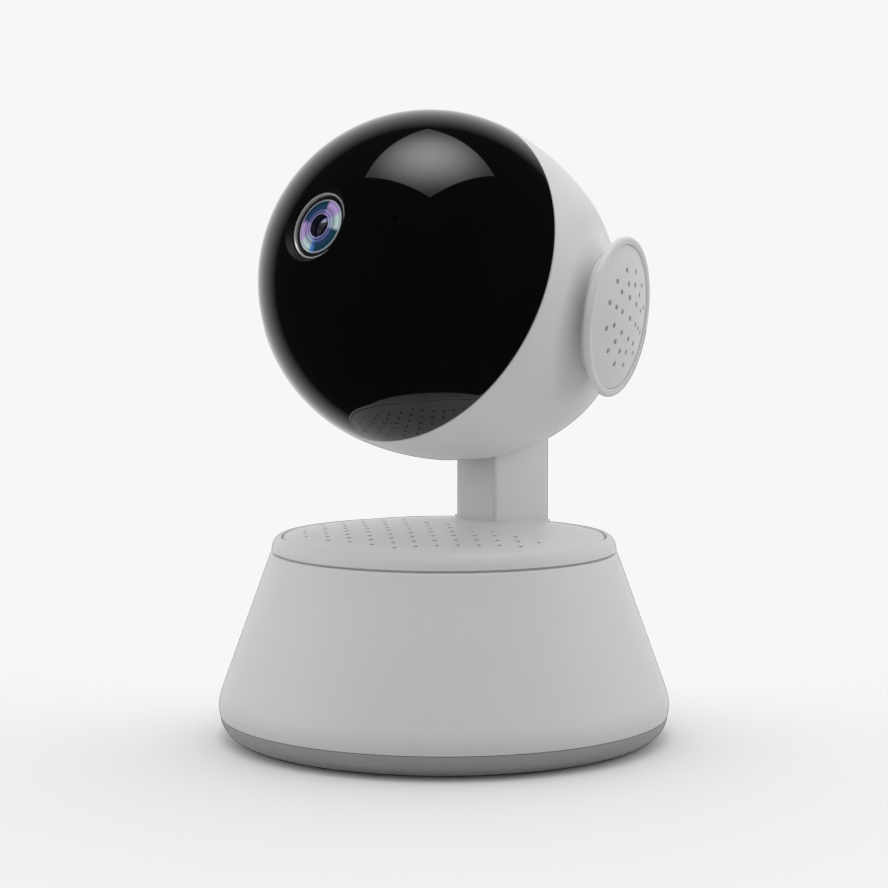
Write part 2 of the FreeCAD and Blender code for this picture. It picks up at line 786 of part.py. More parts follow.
def turntable_disc():
    """Domed disc with a skirt, a hub, a glide rib and a grid of sound holes."""
    top = dome(0.0, disc_r).cut(rod(beyond, (0, 0, 0), (0, 0, disc_skirt_z)))
    edge = [e for e in top.Edges if abs(e.BoundBox.ZMin - e.BoundBox.ZMax) < 1e-6
            and e.BoundBox.XMax > disc_r - 0.01 and e.BoundBox.ZMin > disc_skirt_z + 0.5]
    top = top.makeFillet(0.35, edge)
    inside = dome(disc_wall, disc_r - disc_wall)
    body = top.cut(inside)
    inner_top = disc_apex_z - 1
    rib = ring(glide_outer_r, glide_inner_r, glide_top_z + running, inner_top).common(inside)
    hub = rod(hub_r, (0, 0, pan_gear_low_z), (0, 0, inner_top)).common(
        dome(disc_wall - 0.4, disc_r - 1).fuse(rod(hub_r, (0, 0, 0), (0, 0, deck_top_z))))
    post_seat = rounded_block((-post_half - 1, post_front_y - 1, post_seat_z),
                              (post_half + 1, post_back_y + 1, disc_apex_z), 1.0).common(inside)
    body = body.fuse([rib, hub, post_seat])
    body = body.cut(rod(hub_bore_r, (0, 0, 0), (0, 0, disc_apex_z - disc_wall)))
    clip_groove_low = hub_low_z + clip_land
    hub_end = ring(hub_r, hub_bore_r, hub_low_z, pan_gear_low_z)
    body = body.fuse(hub_end.cut(ring(hub_r + 1, clip_inner_r, clip_groove_low, clip_groove_low + clip_t)))
    drills = [upright_rod(hole_r, spot, glide_top_z + running - 1, beyond) for spot in hole_spots()]
    body = body.cut(Part.makeCompound(drills)).cut(cable_passage(disc_apex_z + 1))
    for y in post_screw_ys:
        body = body.cut(upright_rod(post_screw_r + 0.2, (0, y), 0, beyond))
    return body.removeSplitter()


def cable_passage(top):
    """Upright passage for the head's cable through the disc and the post's foot."""
    return rounded_block((-cable_half_w, post_mid_y - cable_half_d, deck_low_z - 5),
                         (cable_half_w, post_mid_y + cable_half_d, top), 1.5)


def pan_gear():
    """Ring gear on the turntable's hub, with six round windows."""
    gear = spur_gear(pan_gear_teeth, gear_module, pan_gear_t, hub_r)
    gear.translate(Vector(0, 0, pan_gear_low_z))
    windows = [upright_rod(2.6, spot, 0, beyond) for spot in spots(12.6, 6)]
    return gear.cut(Part.makeCompound(windows))


def pan_clip():
    """Spring clip in the hub's groove that holds the gear and the turntable."""
    low = hub_low_z + clip_land
    clip = ring(clip_inner_r + clip_w, clip_inner_r, low, low + clip_t)
    return clip.cut(block((-clip_gap / 2, 0, low - 1), (clip_gap / 2, beyond, low + 2)))


def post():
    """Upright arm: front and sides in one piece, open towards the back cover."""
    top = tilt_axis.z + post_above_axle
    body = rounded_block((-post_half, post_front_y, disc_skirt_z),
                         (post_half, post_back_y, top), post_corner_r)
    ends = [e for e in body.Edges if e.BoundBox.ZMin > top - 0.01 and e.BoundBox.YLength < 0.01
            and e.BoundBox.XLength > 4]
    body = body.makeFillet(post_top_r, ends)
    out = post_collar_out
    collar = rounded_block((-post_half - out, post_front_y - out, disc_skirt_z),
                           (post_half + out, post_back_y + out, post_floor_z), post_corner_r + out)
    body = body.fuse(collar.common(dome(-post_collar_h, disc_r)))
    duct_half = post_half - post_wall
    body = body.cut(block((-duct_half, post_front_y + post_wall, post_floor_z),
                          (duct_half, post_back_y - back_cover_t + 0.01, post_head_z)))
    body = body.cut(cable_passage(post_floor_z + 1)).cut(back_cover_blank(seam / 2))
    body = body.cut(rod(bush_r, (-beyond, tilt_axis.y, tilt_axis.z), (beyond, tilt_axis.y, tilt_axis.z)))
    body = body.cut(dome(0.0, disc_r))
    for y in post_screw_ys:
        body = body.cut(upright_rod(post_screw_r, (0, y), 0, post_floor_z))
    for y, z in gear_screw_spots():
        body = body.cut(rod(gear_screw_r, (post_half - gear_screw_l + tilt_gear_t - 0.5, y, z),
                            (post_half + 1, y, z)))
    return body.removeSplitter()


def back_cover_blank(grow):
    """The back cover's volume, larger by a clearance for its seat in the post."""
    half = back_cover_half + grow
    return block((-half, post_back_y - back_cover_t, post_floor_z + back_cover_end - grow),
                 (half, post_back_y + grow, post_head_z - back_cover_end + grow))


def post_back_cover():
    """Flat cover over the cable duct in the post."""
    return back_cover_blank(0.0)


def post_screws():
    return Part.makeCompound([
        screw_from_below(1.9, 0.7, post_screw_r, post_screw_l, 0, y, post_seat_z) for y in post_screw_ys])


def gear_screw_spots():
    return [(tilt_axis.y + a, tilt_axis.z + b) for a, b in spots(gear_screw_ring_r, 3, 90)]


def tilt_gear():
    """Gear that stands still on the post while the head walks around it."""
    toward = 180.0 - (motor_lift + head_elevation)
    gear = lay_on_x(spur_gear(tilt_gear_teeth, tilt_gear_module, tilt_gear_t, bush_r), toward)
    gear.translate(Vector(post_half, tilt_axis.y, tilt_axis.z))
    for y, z in gear_screw_spots():
        gear = gear.cut(rod(gear_screw_r + 0.2, (post_half - 1, y, z), (beyond, y, z)))
    return gear


def gear_screws():
    made = []
    for y, z in gear_screw_spots():
        one = lay_on_x(screw(1.1, 0.5, gear_screw_r, gear_screw_l), 0)
        one.translate(Vector(post_half + tilt_gear_t, y, z))
        made.append(one)
    return Part.makeCompound(made)


def post_bush(side):
    """Bush in one side of the post for the tilt axle."""
    def along(r, start_x, end_x):
        return rod(r, (start_x, tilt_axis.y, tilt_axis.z), (end_x, tilt_axis.y, tilt_axis.z))

    flange_l = tilt_gear_t if side > 0 else bush_flange_t
    tube = along(bush_r, side * bush_inner_x, side * (post_half + flange_l))
    return tube.cut(along(axle_r + running, -beyond, beyond))


def slot_shield():
    """Curved blind on the post that closes the view through the shell's slot."""
    outer = rod(shield_r, (-shield_half_w, 0, 0), (shield_half_w, 0, 0))
    inner = rod(shield_r - shield_t, (-shield_half_w, 0, 0), (shield_half_w, 0, 0))
    leaf = outer.cut(inner).common(fan_prism(shield_half_w, beyond, -shield_span, shield_span))
    leaf.translate(Vector(0, tilt_axis.y, tilt_axis.z))
    return leaf.cut(rounded_block((-post_half, post_front_y, disc_skirt_z),
                                  (post_half, post_back_y, tilt_axis.z), post_corner_r))


# ---------------------------------------------------------------- head
# The pieces below are built with the lens looking along -Y and the spherical
# front centred on the origin, and in_head() carries them to the stored pose.

def sphere_r(y, r):
    return sqrt(r * r - y * y)


def egg(r, back, front):
    """Solid of the head's outline: a sphere ahead of its centre, an ellipse behind."""
    ellipse = Part.Ellipse(Vector(0, 0, -back), Vector(r, 0, 0), O)
    tail = Part.ArcOfEllipse(ellipse, 0, pi / 2).toShape()
    half = front / 2
    ball = outline((r, 0), ((sphere_r(half, r), half), (sphere_r(front, r), front)), (0, front), (0, -back))
    return facing_front(spin([tail] + ball[:-1]))


def ear_place():
    """Placement of the right ear: its own +Z points outwards, its +Y upwards."""
    sweep = radians(ear_sweep)
    outward = Vector(cos(sweep), sin(sweep), 0)
    rearward = Vector(-sin(sweep), cos(sweep), 0)
    return Placement(Vector(ear_x, tilt_back, ear_rise), Rotation(rearward, Z, outward, "ZXY"))


def on_ear(shape, side):
    """Carry a piece built around Z to the right (+X) or left ear."""
    placed = shape.copy()
    placed.Placement = ear_place().multiply(placed.Placement)
    return placed if side > 0 else placed.mirror(O, X)


def slot_tool():
    """Space that the post sweeps through the shell over the whole tilt."""
    half = post_half + slot_gap
    ends = (head_elevation - tilt_down, head_elevation + tilt_up)
    tool = fan_prism(half, beyond, *ends)
    for turn in ends:
        box = block((-half, -post_reach_front - slot_gap, -beyond), (half, post_reach_back + slot_gap, -10))
        box.rotate(O, X, turn)
        tool = tool.fuse(box)
    tool.translate(Vector(0, tilt_back, 0))
    return tool


def rear_shell():
    """Egg-shaped back of the head with the post's slot and the ear openings."""
    edge = rim_forward - seam / 2
    outer = egg(head_r, head_back, edge)
    shell = outer.cut(egg(head_r - head_wall, head_back - head_wall, edge))
    shell = shell.cut(facing_front(rod(seal_outer_r + 0.05, (0, 0, edge - seal_t), (0, 0, edge + 1))))
    lug_end_y = 8.0
    rib_y = 3.5
    rib_reach = (head_r - head_wall / 2) / frame_lug_ring_r
    for x, z in spots(frame_lug_ring_r, 3, 90):
        lug = rod(frame_lug_r, (x, frame_back_y, z), (x, lug_end_y, z))
        rib = rod(1.6, (x, rib_y, z), (x * rib_reach, rib_y, z * rib_reach))
        shell = shell.fuse(lug.fuse(rib).common(outer))
        shell = shell.cut(rod(frame_screw_r, (x, frame_back_y - 1, z), (x, lug_end_y - 1, z)))
    neck = ear_neck_r + ear_play
    dish = ear_back + ear_dish + ear_play
    ear_room = lathe([(0, -2 * ear_neck_l), (neck, -2 * ear_neck_l), (neck, -dish),
                      (ear_r, -ear_back - ear_play), (ear_r, 10), (0, 10)])
    for side in (-1, 1):
        shell = shell.cut(on_ear(ear_room, side))
    return shell.cut(slot_tool()).removeSplitter()


def front_mask():
    """Dark spherical window over the whole front, with the lens opening."""
    front = rim_forward + seam / 2
    inner_r = head_r - mask_wall
    slant = sin(radians(45))
    cap = spin(outline(
        (sphere_r(front, head_r), front), ((head_r * slant, head_r * slant), (0, head_r)), (0, inner_r),
        ((inner_r * slant, inner_r * slant), (sphere_r(front, inner_r), front))))
    spigot = ring(spigot_r, spigot_r - spigot_t, frame_front + 0.05, spigot_end)
    cap = cap.fuse(spigot.common(Part.makeSphere(inner_r + 0.4)))
    bevel_r = mask_hole_r + mask_hole_bevel
    surface = sphere_r(bevel_r, head_r)
    cap = cap.cut(lathe([(0, surface - mask_hole_bevel), (mask_hole_r, surface - mask_hole_bevel),
                         (bevel_r, surface), (bevel_r, surface + 3), (0, surface + 3)]))
    cap = cap.cut(rod(mask_hole_r, (0, 0, head_r / 2), (0, 0, beyond)))
    mask = facing_front(cap)
    spot = Vector(sensor_hole_x, -sqrt(head_r ** 2 - sensor_hole_x ** 2 - sensor_hole_z ** 2), sensor_hole_z)
    return mask.cut(rod(sensor_hole_r, spot * 0.8, spot * 1.1)).removeSplitter()


def mask_seal():
    """Thin rubber ring in the joint between the mask and the shell."""
    low = rim_forward - seam / 2 - seal_t + 0.02
    return facing_front(ring(seal_outer_r, spigot_r + 0.02, low, low + seal_t))


def head_frame():
    """Inner frame: round bulkhead, board posts and two arms for the tilt axle."""
    def bore(r, x, z):
        return rod(r, (x, -beyond, z), (x, -frame_back_y + 1, z))

    plate = facing_front(rod(spigot_r, (0, 0, frame_front - frame_t), (0, 0, frame_front)))
    plate = plate.cut(bore(frame_middle_hole_r, 0, 0))
    for x, z in spots(frame_window_ring_r, 6, 30):
        plate = plate.cut(bore(frame_window_r, x, z))
    into_plate = frame_back_y - 0.5
    for side in (-1, 1):
        low_x, high_x = sorted((side * cheek_inner_x, side * arm_out))
        arm = block((low_x, into_plate, -cheek_r), (high_x, tilt_back, cheek_r))
        arm = arm.fuse(rod(cheek_r, (low_x, tilt_back, 0), (high_x, tilt_back, 0)))
        if side > 0:
            pad_r = tilt_motor_r + 0.5
            y = tilt_motor_y
            z = tilt_motor_z
            pad = block((low_x, into_plate, z - pad_r), (high_x, y, z + pad_r))
            pad = pad.fuse(rod(pad_r, (low_x, y, z), (high_x, y, z)))
            arm = arm.fuse(pad).cut(rod(2.6, (low_x - 1, y, z), (high_x + 1, y, z)))
        plate = plate.fuse(arm)
    plate = plate.cut(rod(axle_r, (-beyond, tilt_back, 0), (beyond, tilt_back, 0)))
    for x, z in square_spots(spacer_at):
        plate = plate.fuse(rod(spacer_r + 0.4, (x, -frame_front + 0.5, z),
                               (x, sensor_board_y + sensor_board_t, z)))
        plate = plate.cut(rod(stud_r + 0.1, (x, sensor_board_y, z), (x, -frame_front - 2, z)))
    for x, z in spots(frame_lug_ring_r, 3, 90):
        plate = plate.cut(bore(frame_screw_r + 0.3, x, z))
    return plate.removeSplitter()


def frame_screws():
    made = []
    for x, z in spots(frame_lug_ring_r, 3, 90):
        one = facing_front(screw(1.7, 0.8, frame_screw_r, frame_screw_l))
        one.translate(Vector(x, -frame_front, z))
        made.append(one)
    return Part.makeCompound(made)


def tilt_axle():
    """Steel pin pressed into the frame's arms, with a head at each end."""
    half_l = arm_out + axle_head_t
    head_r = axle_r + axle_head_w
    pin = rod(axle_r, (-half_l, tilt_back, 0), (half_l, tilt_back, 0))
    for side in (-1, 1):
        pin = pin.fuse(rod(head_r, (side * arm_out, tilt_back, 0), (side * half_l, tilt_back, 0)))
    return pin.removeSplitter()


def tilt_motor():
    """Small stepper on the right arm, its shaft through the arm."""
    y = tilt_motor_y
    z = tilt_motor_z
    end = arm_out + tilt_motor_l
    can = rod(tilt_motor_r, (arm_out, y, z), (end, y, z))
    collar = rod(2.5, (arm_out - 1.2, y, z), (arm_out, y, z))
    shaft = rod(tilt_shaft_r, (post_half + 0.3, y, z), (arm_out, y, z))
    plug = block((end - 4, y - 3, z + tilt_motor_r - 1), (end, y + 3, z + tilt_motor_r + 1.2))
    return can.fuse([collar, shaft, plug]).removeSplitter()


def tilt_pinion():
    """Pinion on the tilt motor's shaft, in mesh with the still gear."""
    gear = spur_gear(tilt_pinion_teeth, tilt_gear_module, tilt_gear_t, tilt_shaft_r + running)
    gear = lay_on_x(gear, -motor_lift + 180.0 / tilt_pinion_teeth)
    gear.translate(Vector(post_half + 0.05, tilt_motor_y, tilt_motor_z))
    return gear


def sensor_board():
    """Square board behind the lens, with one large chip on its rear."""
    half = sensor_board_half
    rear = sensor_board_y + sensor_board_t
    board = block((-half, sensor_board_y, -half), (half, rear, half))
    for x, z in square_spots(spacer_at):
        board = board.cut(rod(stud_r + 0.1, (x, -beyond, z), (x, 0, z)))
    chip = block((-4.5, sensor_board_y + 0.5, -13), (4.5, rear + 0.9, -5))
    return board.fuse(chip).removeSplitter()


def image_sensor():
    return block((-image_sensor_half_w, sensor_board_y - image_sensor_t, -image_sensor_half_h),
                 (image_sensor_half_w, sensor_board_y, image_sensor_half_h))


def lens_holder():
    """Square foot on the sensor board with the barrel's threaded tube."""
    base = -sensor_board_y
    half = holder_half
    room = image_sensor_half_w + 1.2
    foot = block((-half, -base - holder_foot_t, -half), (half, -base, half))
    tube = facing_front(rod(half, (0, 0, base), (0, 0, base + holder_l)))
    bore = facing_front(rod(barrel_thread_r, (0, 0, base), (0, 0, beyond)))
    return foot.fuse(tube).cut(bore).cut(block((-room, -base - 1.6, -room), (room, -base + 1, room)))


def lens_barrel():
    """Black lens tube: wide front, threaded rear, stepped bore for the glasses."""
    front = barrel_front
    back = front - barrel_l
    step = front - barrel_front_l
    seat = front - front_glass_t
    inner_low = inner_glass_z - 1.0
    return facing_front(lathe([
        (front_glass_r, front), (barrel_r, front), (barrel_r, step), (barrel_thread_r, step),
        (barrel_thread_r, back), (barrel_rear_r, back), (barrel_rear_r, inner_low),
        (inner_glass_r, inner_low), (inner_glass_r, inner_glass_z + 1.2),
        (front_glass_r - 0.8, seat), (front_glass_r, seat)]))


def lens_trim():
    """Bright thin ring around the barrel's front edge."""
    low = lens_front - trim_l
    return facing_front(lathe([
        (trim_inner_r, low), (trim_outer_r, low), (trim_outer_r, lens_front - trim_edge),
        (trim_outer_r - trim_edge, lens_front), (trim_inner_r + trim_edge, lens_front),
        (trim_inner_r, lens_front - trim_edge)]))


def lens_element(r, back, edge, bulge):
    """Glass disc with a domed front, along Z: flat back, edge height and bulge."""
    curve = (r * r + bulge * bulge) / (2 * bulge)
    middle = (r / 2, curve_z(curve, edge + bulge - curve, r / 2))
    return facing_front(spin(outline((0, back), (r, back), (r, edge), (middle, (0, edge + bulge)))))


def front_glass():
    return lens_element(front_glass_r - glass_play, barrel_front - front_glass_t, barrel_front - 0.4, 0.9)


def inner_glass():
    return lens_element(inner_glass_r - glass_play, inner_glass_z - 1.0, inner_glass_z - 0.2, 1.1)


def board_spacers():
    """Four threaded spacers between the two boards of the head."""
    made = []
    for x, z in square_spots(spacer_at):
        one = rod(spacer_r, (x, ir_board_y + ir_board_t, z), (x, sensor_board_y, z))
        stud = rod(stud_r, (x, sensor_board_y, z), (x, sensor_board_y + 5.0, z))
        made.append(one.fuse(stud).removeSplitter())
    return Part.makeCompound(made)


def ir_board():
    """Round board behind the mask that carries the infrared diodes."""
    front = -ir_board_y
    board = facing_front(ring(ir_board_r, ir_board_hole_r, front - ir_board_t, front))
    for x, z in square_spots(spacer_at):
        board = board.cut(rod(stud_r + 0.2, (x, -beyond, z), (x, 0, z)))
    return board


def ir_board_screws():
    made = []
    for x, z in square_spots(spacer_at):
        one = facing_front(screw(1.5, 0.6, stud_r, ir_board_t - 0.1))
        one.translate(Vector(x, ir_board_y, z))
        made.append(one)
    return Part.makeCompound(made)


def ir_leds():
    """Infrared diodes: square foot and round lens each."""
    foot_y = ir_board_y - ir_led_foot_t
    half = ir_led_half
    made = []
    for x, z in spots(ir_led_ring_r, ir_led_count, 22.5):
        foot = block((x - half, foot_y, z - half), (x + half, ir_board_y, z + half))
        cap = Part.makeSphere(ir_led_dome_r, Vector(x, foot_y, z))
        cap = cap.common(block((x - half, foot_y - half, z - half), (x + half, foot_y + 0.3, z + half)))
        made.append(foot.fuse(cap).removeSplitter())
    return Part.makeCompound(made)


def light_sensor():
    """Brightness sensor on the infrared board, behind the mask's small hole."""
    x = sensor_hole_x
    z = sensor_hole_z
    return block((x - 0.4, ir_board_y - 1.0, z - 1.5), (x + 2.0, ir_board_y, z + 1.5))


# ---------------------------------------------------------------- ears

def ear_housing(side):
    """Round ear: neck through the shell, dished back and a rounded rim."""
    neck = ear_neck_r
    bore = neck - ear_neck_t
    seat_r = ear_r - ear_rim_w
    bead = ear_bead_r
    return on_ear(spin(outline(
        (bore, -ear_neck_l), (neck, -ear_neck_l), (neck, -ear_back - ear_dish), (ear_r - 1.0, -ear_back),
        ((ear_r, -0.2), (ear_r - bead, bead)), (seat_r, 0.6 * bead), (seat_r, -ear_floor),
        (bore, -ear_floor))), side)


def ear_grille(side):
    """Domed cover of an ear with rings of sound holes."""
    r = ear_r - ear_rim_w - ear_play
    top = ear_dome_h
    rise = top - grille_edge_h
    curve = (r * r + rise * rise) / (2 * rise)
    centre = top - curve
    in_r = r - grille_t
    in_curve = curve - grille_t
    shape = spin(outline(
        (r, grille_edge_h), ((r / 2, curve_z(curve, centre, r / 2)), (0, top)), (0, top - grille_t),
        ((in_r / 2, curve_z(in_curve, centre, in_r / 2)), (in_r, curve_z(in_curve, centre, in_r))),
        (in_r, -ear_floor), (r, -ear_floor)))
    places = [(0.0, 0.0)]
    for ring_r, count in ear_hole_rings:
        places += spots(ring_r, count)
    drills = [upright_rod(ear_hole_r, spot, -1, 5) for spot in places]
    return on_ear(shape.cut(Part.makeCompound(drills)), side)


def ear_speaker(side):
    """Small round loudspeaker seated in the ear's neck."""
    r = ear_neck_r - ear_neck_t - running
    back = 0.5 - ear_neck_l
    magnet_r = 4.5
    return on_ear(lathe([
        (0, back), (magnet_r, back), (magnet_r, back + 1.4), (r, back + 2.0), (r, -1.2), (r - 1.0, -1.2),
        (r - 1.6, -1.9), (magnet_r - 0.5, -2.6), (0, -1.9)]), side)


# ---------------------------------------------------------------- export

makers = (
    base_housing, base_cover, rubber_feet, cover_screws, ballast_plate, tripod_insert, cap_ring,
    main_board, board_screws, power_inlet, card_socket, button_switch, reset_button, pan_motor,
    pan_motor_screws, pan_pinion, pan_bearing, glide_ring, base_speaker, turntable_disc, pan_gear,
    pan_clip, post, post_back_cover, post_screws, tilt_gear, gear_screws, slot_shield)
head_makers = (
    rear_shell, front_mask, mask_seal, head_frame, frame_screws, tilt_axle, tilt_motor, tilt_pinion,
    sensor_board, image_sensor, lens_holder, lens_barrel, lens_trim, front_glass, inner_glass,
    board_spacers, ir_board, ir_board_screws, ir_leds, light_sensor)
sides = ((1, "_right"), (-1, "_left"))

os.makedirs("parts", exist_ok=True)
for make in makers:
    export(make.__name__, make())
for make in head_makers:
    export(make.__name__, in_head(make()))
for side, word in sides:
    export("post_bush" + word, post_bush(side))
    for make in (ear_housing, ear_grille, ear_speaker):
        export(make.__name__ + word, in_head(make(side)))
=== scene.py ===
import json
from functools import reduce
from math import acos, asin, cos, pi, radians, sin, sqrt, tan

import bmesh
import bpy
from mathutils import Matrix, Vector


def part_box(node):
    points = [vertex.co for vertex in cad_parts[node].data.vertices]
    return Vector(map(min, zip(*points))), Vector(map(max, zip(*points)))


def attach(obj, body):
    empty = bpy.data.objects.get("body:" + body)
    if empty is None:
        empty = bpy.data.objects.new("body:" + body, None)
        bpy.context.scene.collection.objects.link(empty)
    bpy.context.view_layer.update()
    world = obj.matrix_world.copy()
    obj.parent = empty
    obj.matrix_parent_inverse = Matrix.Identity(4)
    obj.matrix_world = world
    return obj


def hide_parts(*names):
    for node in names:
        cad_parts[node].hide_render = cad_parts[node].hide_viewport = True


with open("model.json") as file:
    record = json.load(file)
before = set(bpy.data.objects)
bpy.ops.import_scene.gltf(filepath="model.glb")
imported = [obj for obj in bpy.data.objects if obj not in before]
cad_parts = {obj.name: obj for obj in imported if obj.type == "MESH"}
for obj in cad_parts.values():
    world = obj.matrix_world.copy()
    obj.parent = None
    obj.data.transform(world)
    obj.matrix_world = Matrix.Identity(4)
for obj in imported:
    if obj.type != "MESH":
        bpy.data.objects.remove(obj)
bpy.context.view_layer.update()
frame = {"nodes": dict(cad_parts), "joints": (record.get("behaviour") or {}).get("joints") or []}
cad = frame["nodes"]
mm = 0.001

# ---------------------------------------------------------------- base housing
# The tapering shell of the base, moulded in off-white plastic with a fine satin
# grain. Its lower edge sits on the cover and its upper edge ends in a narrow
# shadow groove; the openings for the supply, card and reset button are behind.


def satin(name, colour, roughness, grain=5200.0, depth=5e-6, drift=0.04, mottle=0.02, **constants):
    """Moulded or painted finish: a fine grain, and slow changes of gloss and shade."""
    finish = bpy.data.materials.new(name)
    finish.use_nodes = True
    nodes = finish.node_tree.nodes
    link = finish.node_tree.links.new
    shader = nodes["Principled BSDF"]
    for socket, value in constants.items():
        shader.inputs[socket.replace("_", " ")].default_value = value
    place = nodes.new("ShaderNodeTexCoord")
    fine = nodes.new("ShaderNodeTexNoise")
    fine.inputs["Scale"].default_value = grain
    fine.inputs["Detail"].default_value = 2.0
    slow = nodes.new("ShaderNodeTexNoise")
    slow.inputs["Scale"].default_value = 70.0
    slow.inputs["Detail"].default_value = 3.0
    link(place.outputs["Object"], fine.inputs["Vector"])
    link(place.outputs["Object"], slow.inputs["Vector"])
    relief = nodes.new("ShaderNodeBump")
    relief.inputs["Distance"].default_value = depth
    relief.inputs["Strength"].default_value = 1.0
    link(fine.outputs["Fac"], relief.inputs["Height"])
    link(relief.outputs["Normal"], shader.inputs["Normal"])
    gloss = nodes.new("ShaderNodeMapRange")
    gloss.inputs["From Min"].default_value = 0.3
    gloss.inputs["From Max"].default_value = 0.7
    gloss.inputs["To Min"].default_value = roughness - drift
    gloss.inputs["To Max"].default_value = roughness + drift
    link(slow.outputs["Fac"], gloss.inputs["Value"])
    link(gloss.outputs["Result"], shader.inputs["Roughness"])
    shade = nodes.new("ShaderNodeMix")
    shade.data_type = "RGBA"
    shade.inputs["A"].default_value = (*[c * (1 - mottle) for c in colour], 1)
    shade.inputs["B"].default_value = (*[min(c * (1 + mottle), 1) for c in colour], 1)
    link(slow.outputs["Fac"], shade.inputs["Factor"])
    link(shade.outputs["Result"], shader.inputs["Base Color"])
    return finish


def outline(bm, corners):
    """Joins (radius, height, rounding) corners into a closed wire and rounds them."""
    points = [bm.verts.new((corner[0], 0, corner[1])) for corner in corners]
    for a, b in zip(points, points[1:] + points[:1]):
        bm.edges.new((a, b))
    for point, corner in zip(points, corners):
        if len(corner) > 2:
            bmesh.ops.bevel(bm, geom=[point], offset=corner[2], offset_type="OFFSET", segments=5,
                            profile=0.5, affect="VERTICES", material=-1)


def turned(corners, steps=240, place=Matrix.Identity(4)):
    """A solid turned about its own Z axis from an outline, then carried to its place."""
    bm = bmesh.new()
    outline(bm, corners)
    bmesh.ops.spin(bm, geom=bm.verts[:] + bm.edges[:], cent=(0, 0, 0), axis=(0, 0, 1),
                   angle=2 * pi, steps=steps, use_merge=True)
    bmesh.ops.remove_doubles(bm, verts=bm.verts, dist=1e-7)
    bmesh.ops.transform(bm, matrix=place, verts=bm.verts)
    bmesh.ops.recalc_face_normals(bm, faces=bm.faces)
    return bm


def rounded_box(low, high, rounding=0.0, along=None):
    """A box between two corners; the edges along one axis, or all of them, are rounded."""
    low = Vector(low)
    high = Vector(high)
    bm = bmesh.new()
    bmesh.ops.create_cube(bm, size=1)
    bmesh.ops.scale(bm, vec=high - low, verts=bm.verts)
    bmesh.ops.translate(bm, vec=(low + high) / 2, verts=bm.verts)
    if rounding:
        edges = [e for e in bm.edges
                 if along is None or abs((e.verts[0].co - e.verts[1].co).normalized()[along]) > 0.9]
        bmesh.ops.bevel(bm, geom=edges, offset=rounding, offset_type="OFFSET", segments=4,
                        profile=0.5, affect="EDGES", material=-1)
    return bm


def rod(radius, start, end, segments=32):
    """A round bar between two points."""
    start = Vector(start)
    span = Vector(end) - start
    bm = bmesh.new()
    bmesh.ops.create_cone(bm, cap_ends=True, segments=segments, radius1=radius, radius2=radius,
                          depth=span.length)
    turn = Vector((0, 0, 1)).rotation_difference(span).to_matrix().to_4x4()
    bmesh.ops.transform(bm, matrix=Matrix.Translation(start + span / 2) @ turn, verts=bm.verts)
    return bm


def trimmed(bm, point, normal):
    """Takes off what lies beyond a plane and closes the cut."""
    bmesh.ops.bisect_plane(bm, geom=bm.verts[:] + bm.edges[:] + bm.faces[:], plane_co=point,
                           plane_no=normal, clear_outer=True)
    bmesh.ops.holes_fill(bm, edges=[e for e in bm.edges if e.is_boundary], sides=0)
    bmesh.ops.recalc_face_normals(bm, faces=bm.faces)
    return bm


def together(solids):
    """Several closed solids that don't touch, as one."""
    whole = bmesh.new()
    for bm in solids:
        part = bpy.data.meshes.new("part")
        bm.to_mesh(part)
        bm.free()
        whole.from_mesh(part)
        bpy.data.meshes.remove(part)
    return whole


def smooth(piece, sharp=32.0):
    """Shades a piece smoothly, apart from edges that turn by more than an angle."""
    piece.data.shade_smooth()
    piece.data.set_sharp_from_angle(angle=radians(sharp))


def piece_of(name, bm, finish, body, stands_for, sharp=32.0):
    """Makes a finished, smooth-shaded piece that rides on a body in place of a CAD node."""
    mesh = bpy.data.meshes.new(name)
    bm.to_mesh(mesh)
    bm.free()
    mesh.materials.append(finish)
    piece = bpy.data.objects.new(name, mesh)
    bpy.context.scene.collection.objects.link(piece)
    smooth(piece, sharp)
    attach(piece, body)
    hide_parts(stands_for)
    return piece


def work(piece, bm, operation="DIFFERENCE"):
    """Cuts a solid out of a piece, or joins it on."""
    tool_mesh = bpy.data.meshes.new("tool")
    bm.to_mesh(tool_mesh)
    bm.free()
    tool = bpy.data.objects.new("tool", tool_mesh)
    bpy.context.scene.collection.objects.link(tool)
    cut = piece.modifiers.new("cut", "BOOLEAN")
    cut.operation = operation
    cut.solver = "EXACT"
    cut.object = tool
    before = piece.data
    ready = piece.evaluated_get(bpy.context.evaluated_depsgraph_get())
    piece.data = bpy.data.meshes.new_from_object(ready)
    piece.modifiers.clear()
    piece.data.name = piece.name
    bpy.data.objects.remove(tool)
    bpy.data.meshes.remove(tool_mesh)
    bpy.data.meshes.remove(before)
    smooth(piece)


shell_white = satin("shell_white", (0.80, 0.80, 0.80), 0.42)

base_low = 4.82 * mm
base_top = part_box("base_housing")[1][2]
base_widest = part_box("base_housing")[1][0]
base_wall = 2.2 * mm
taper = radians(19.9)
cone_low = 11.4 * mm
cone_top_r = 34.75 * mm
groove_r = 33.75 * mm
deck_top = 36.4 * mm
deck_low = 34.4 * mm
deck_bore_r = 9.45 * mm
shell_inner_r = base_widest - base_wall - 0.4 * mm
screw_ring_r = 37.5 * mm
boss_r = 3.0 * mm
boss_foot = 2.42 * mm
boss_top = 24 * mm
boss_cut = 20 * mm


def cone_r(height, inset=0.0):
    """Radius of the taper at a height, or of a surface inside it."""
    return cone_top_r + (base_top - height) * tan(taper) - inset


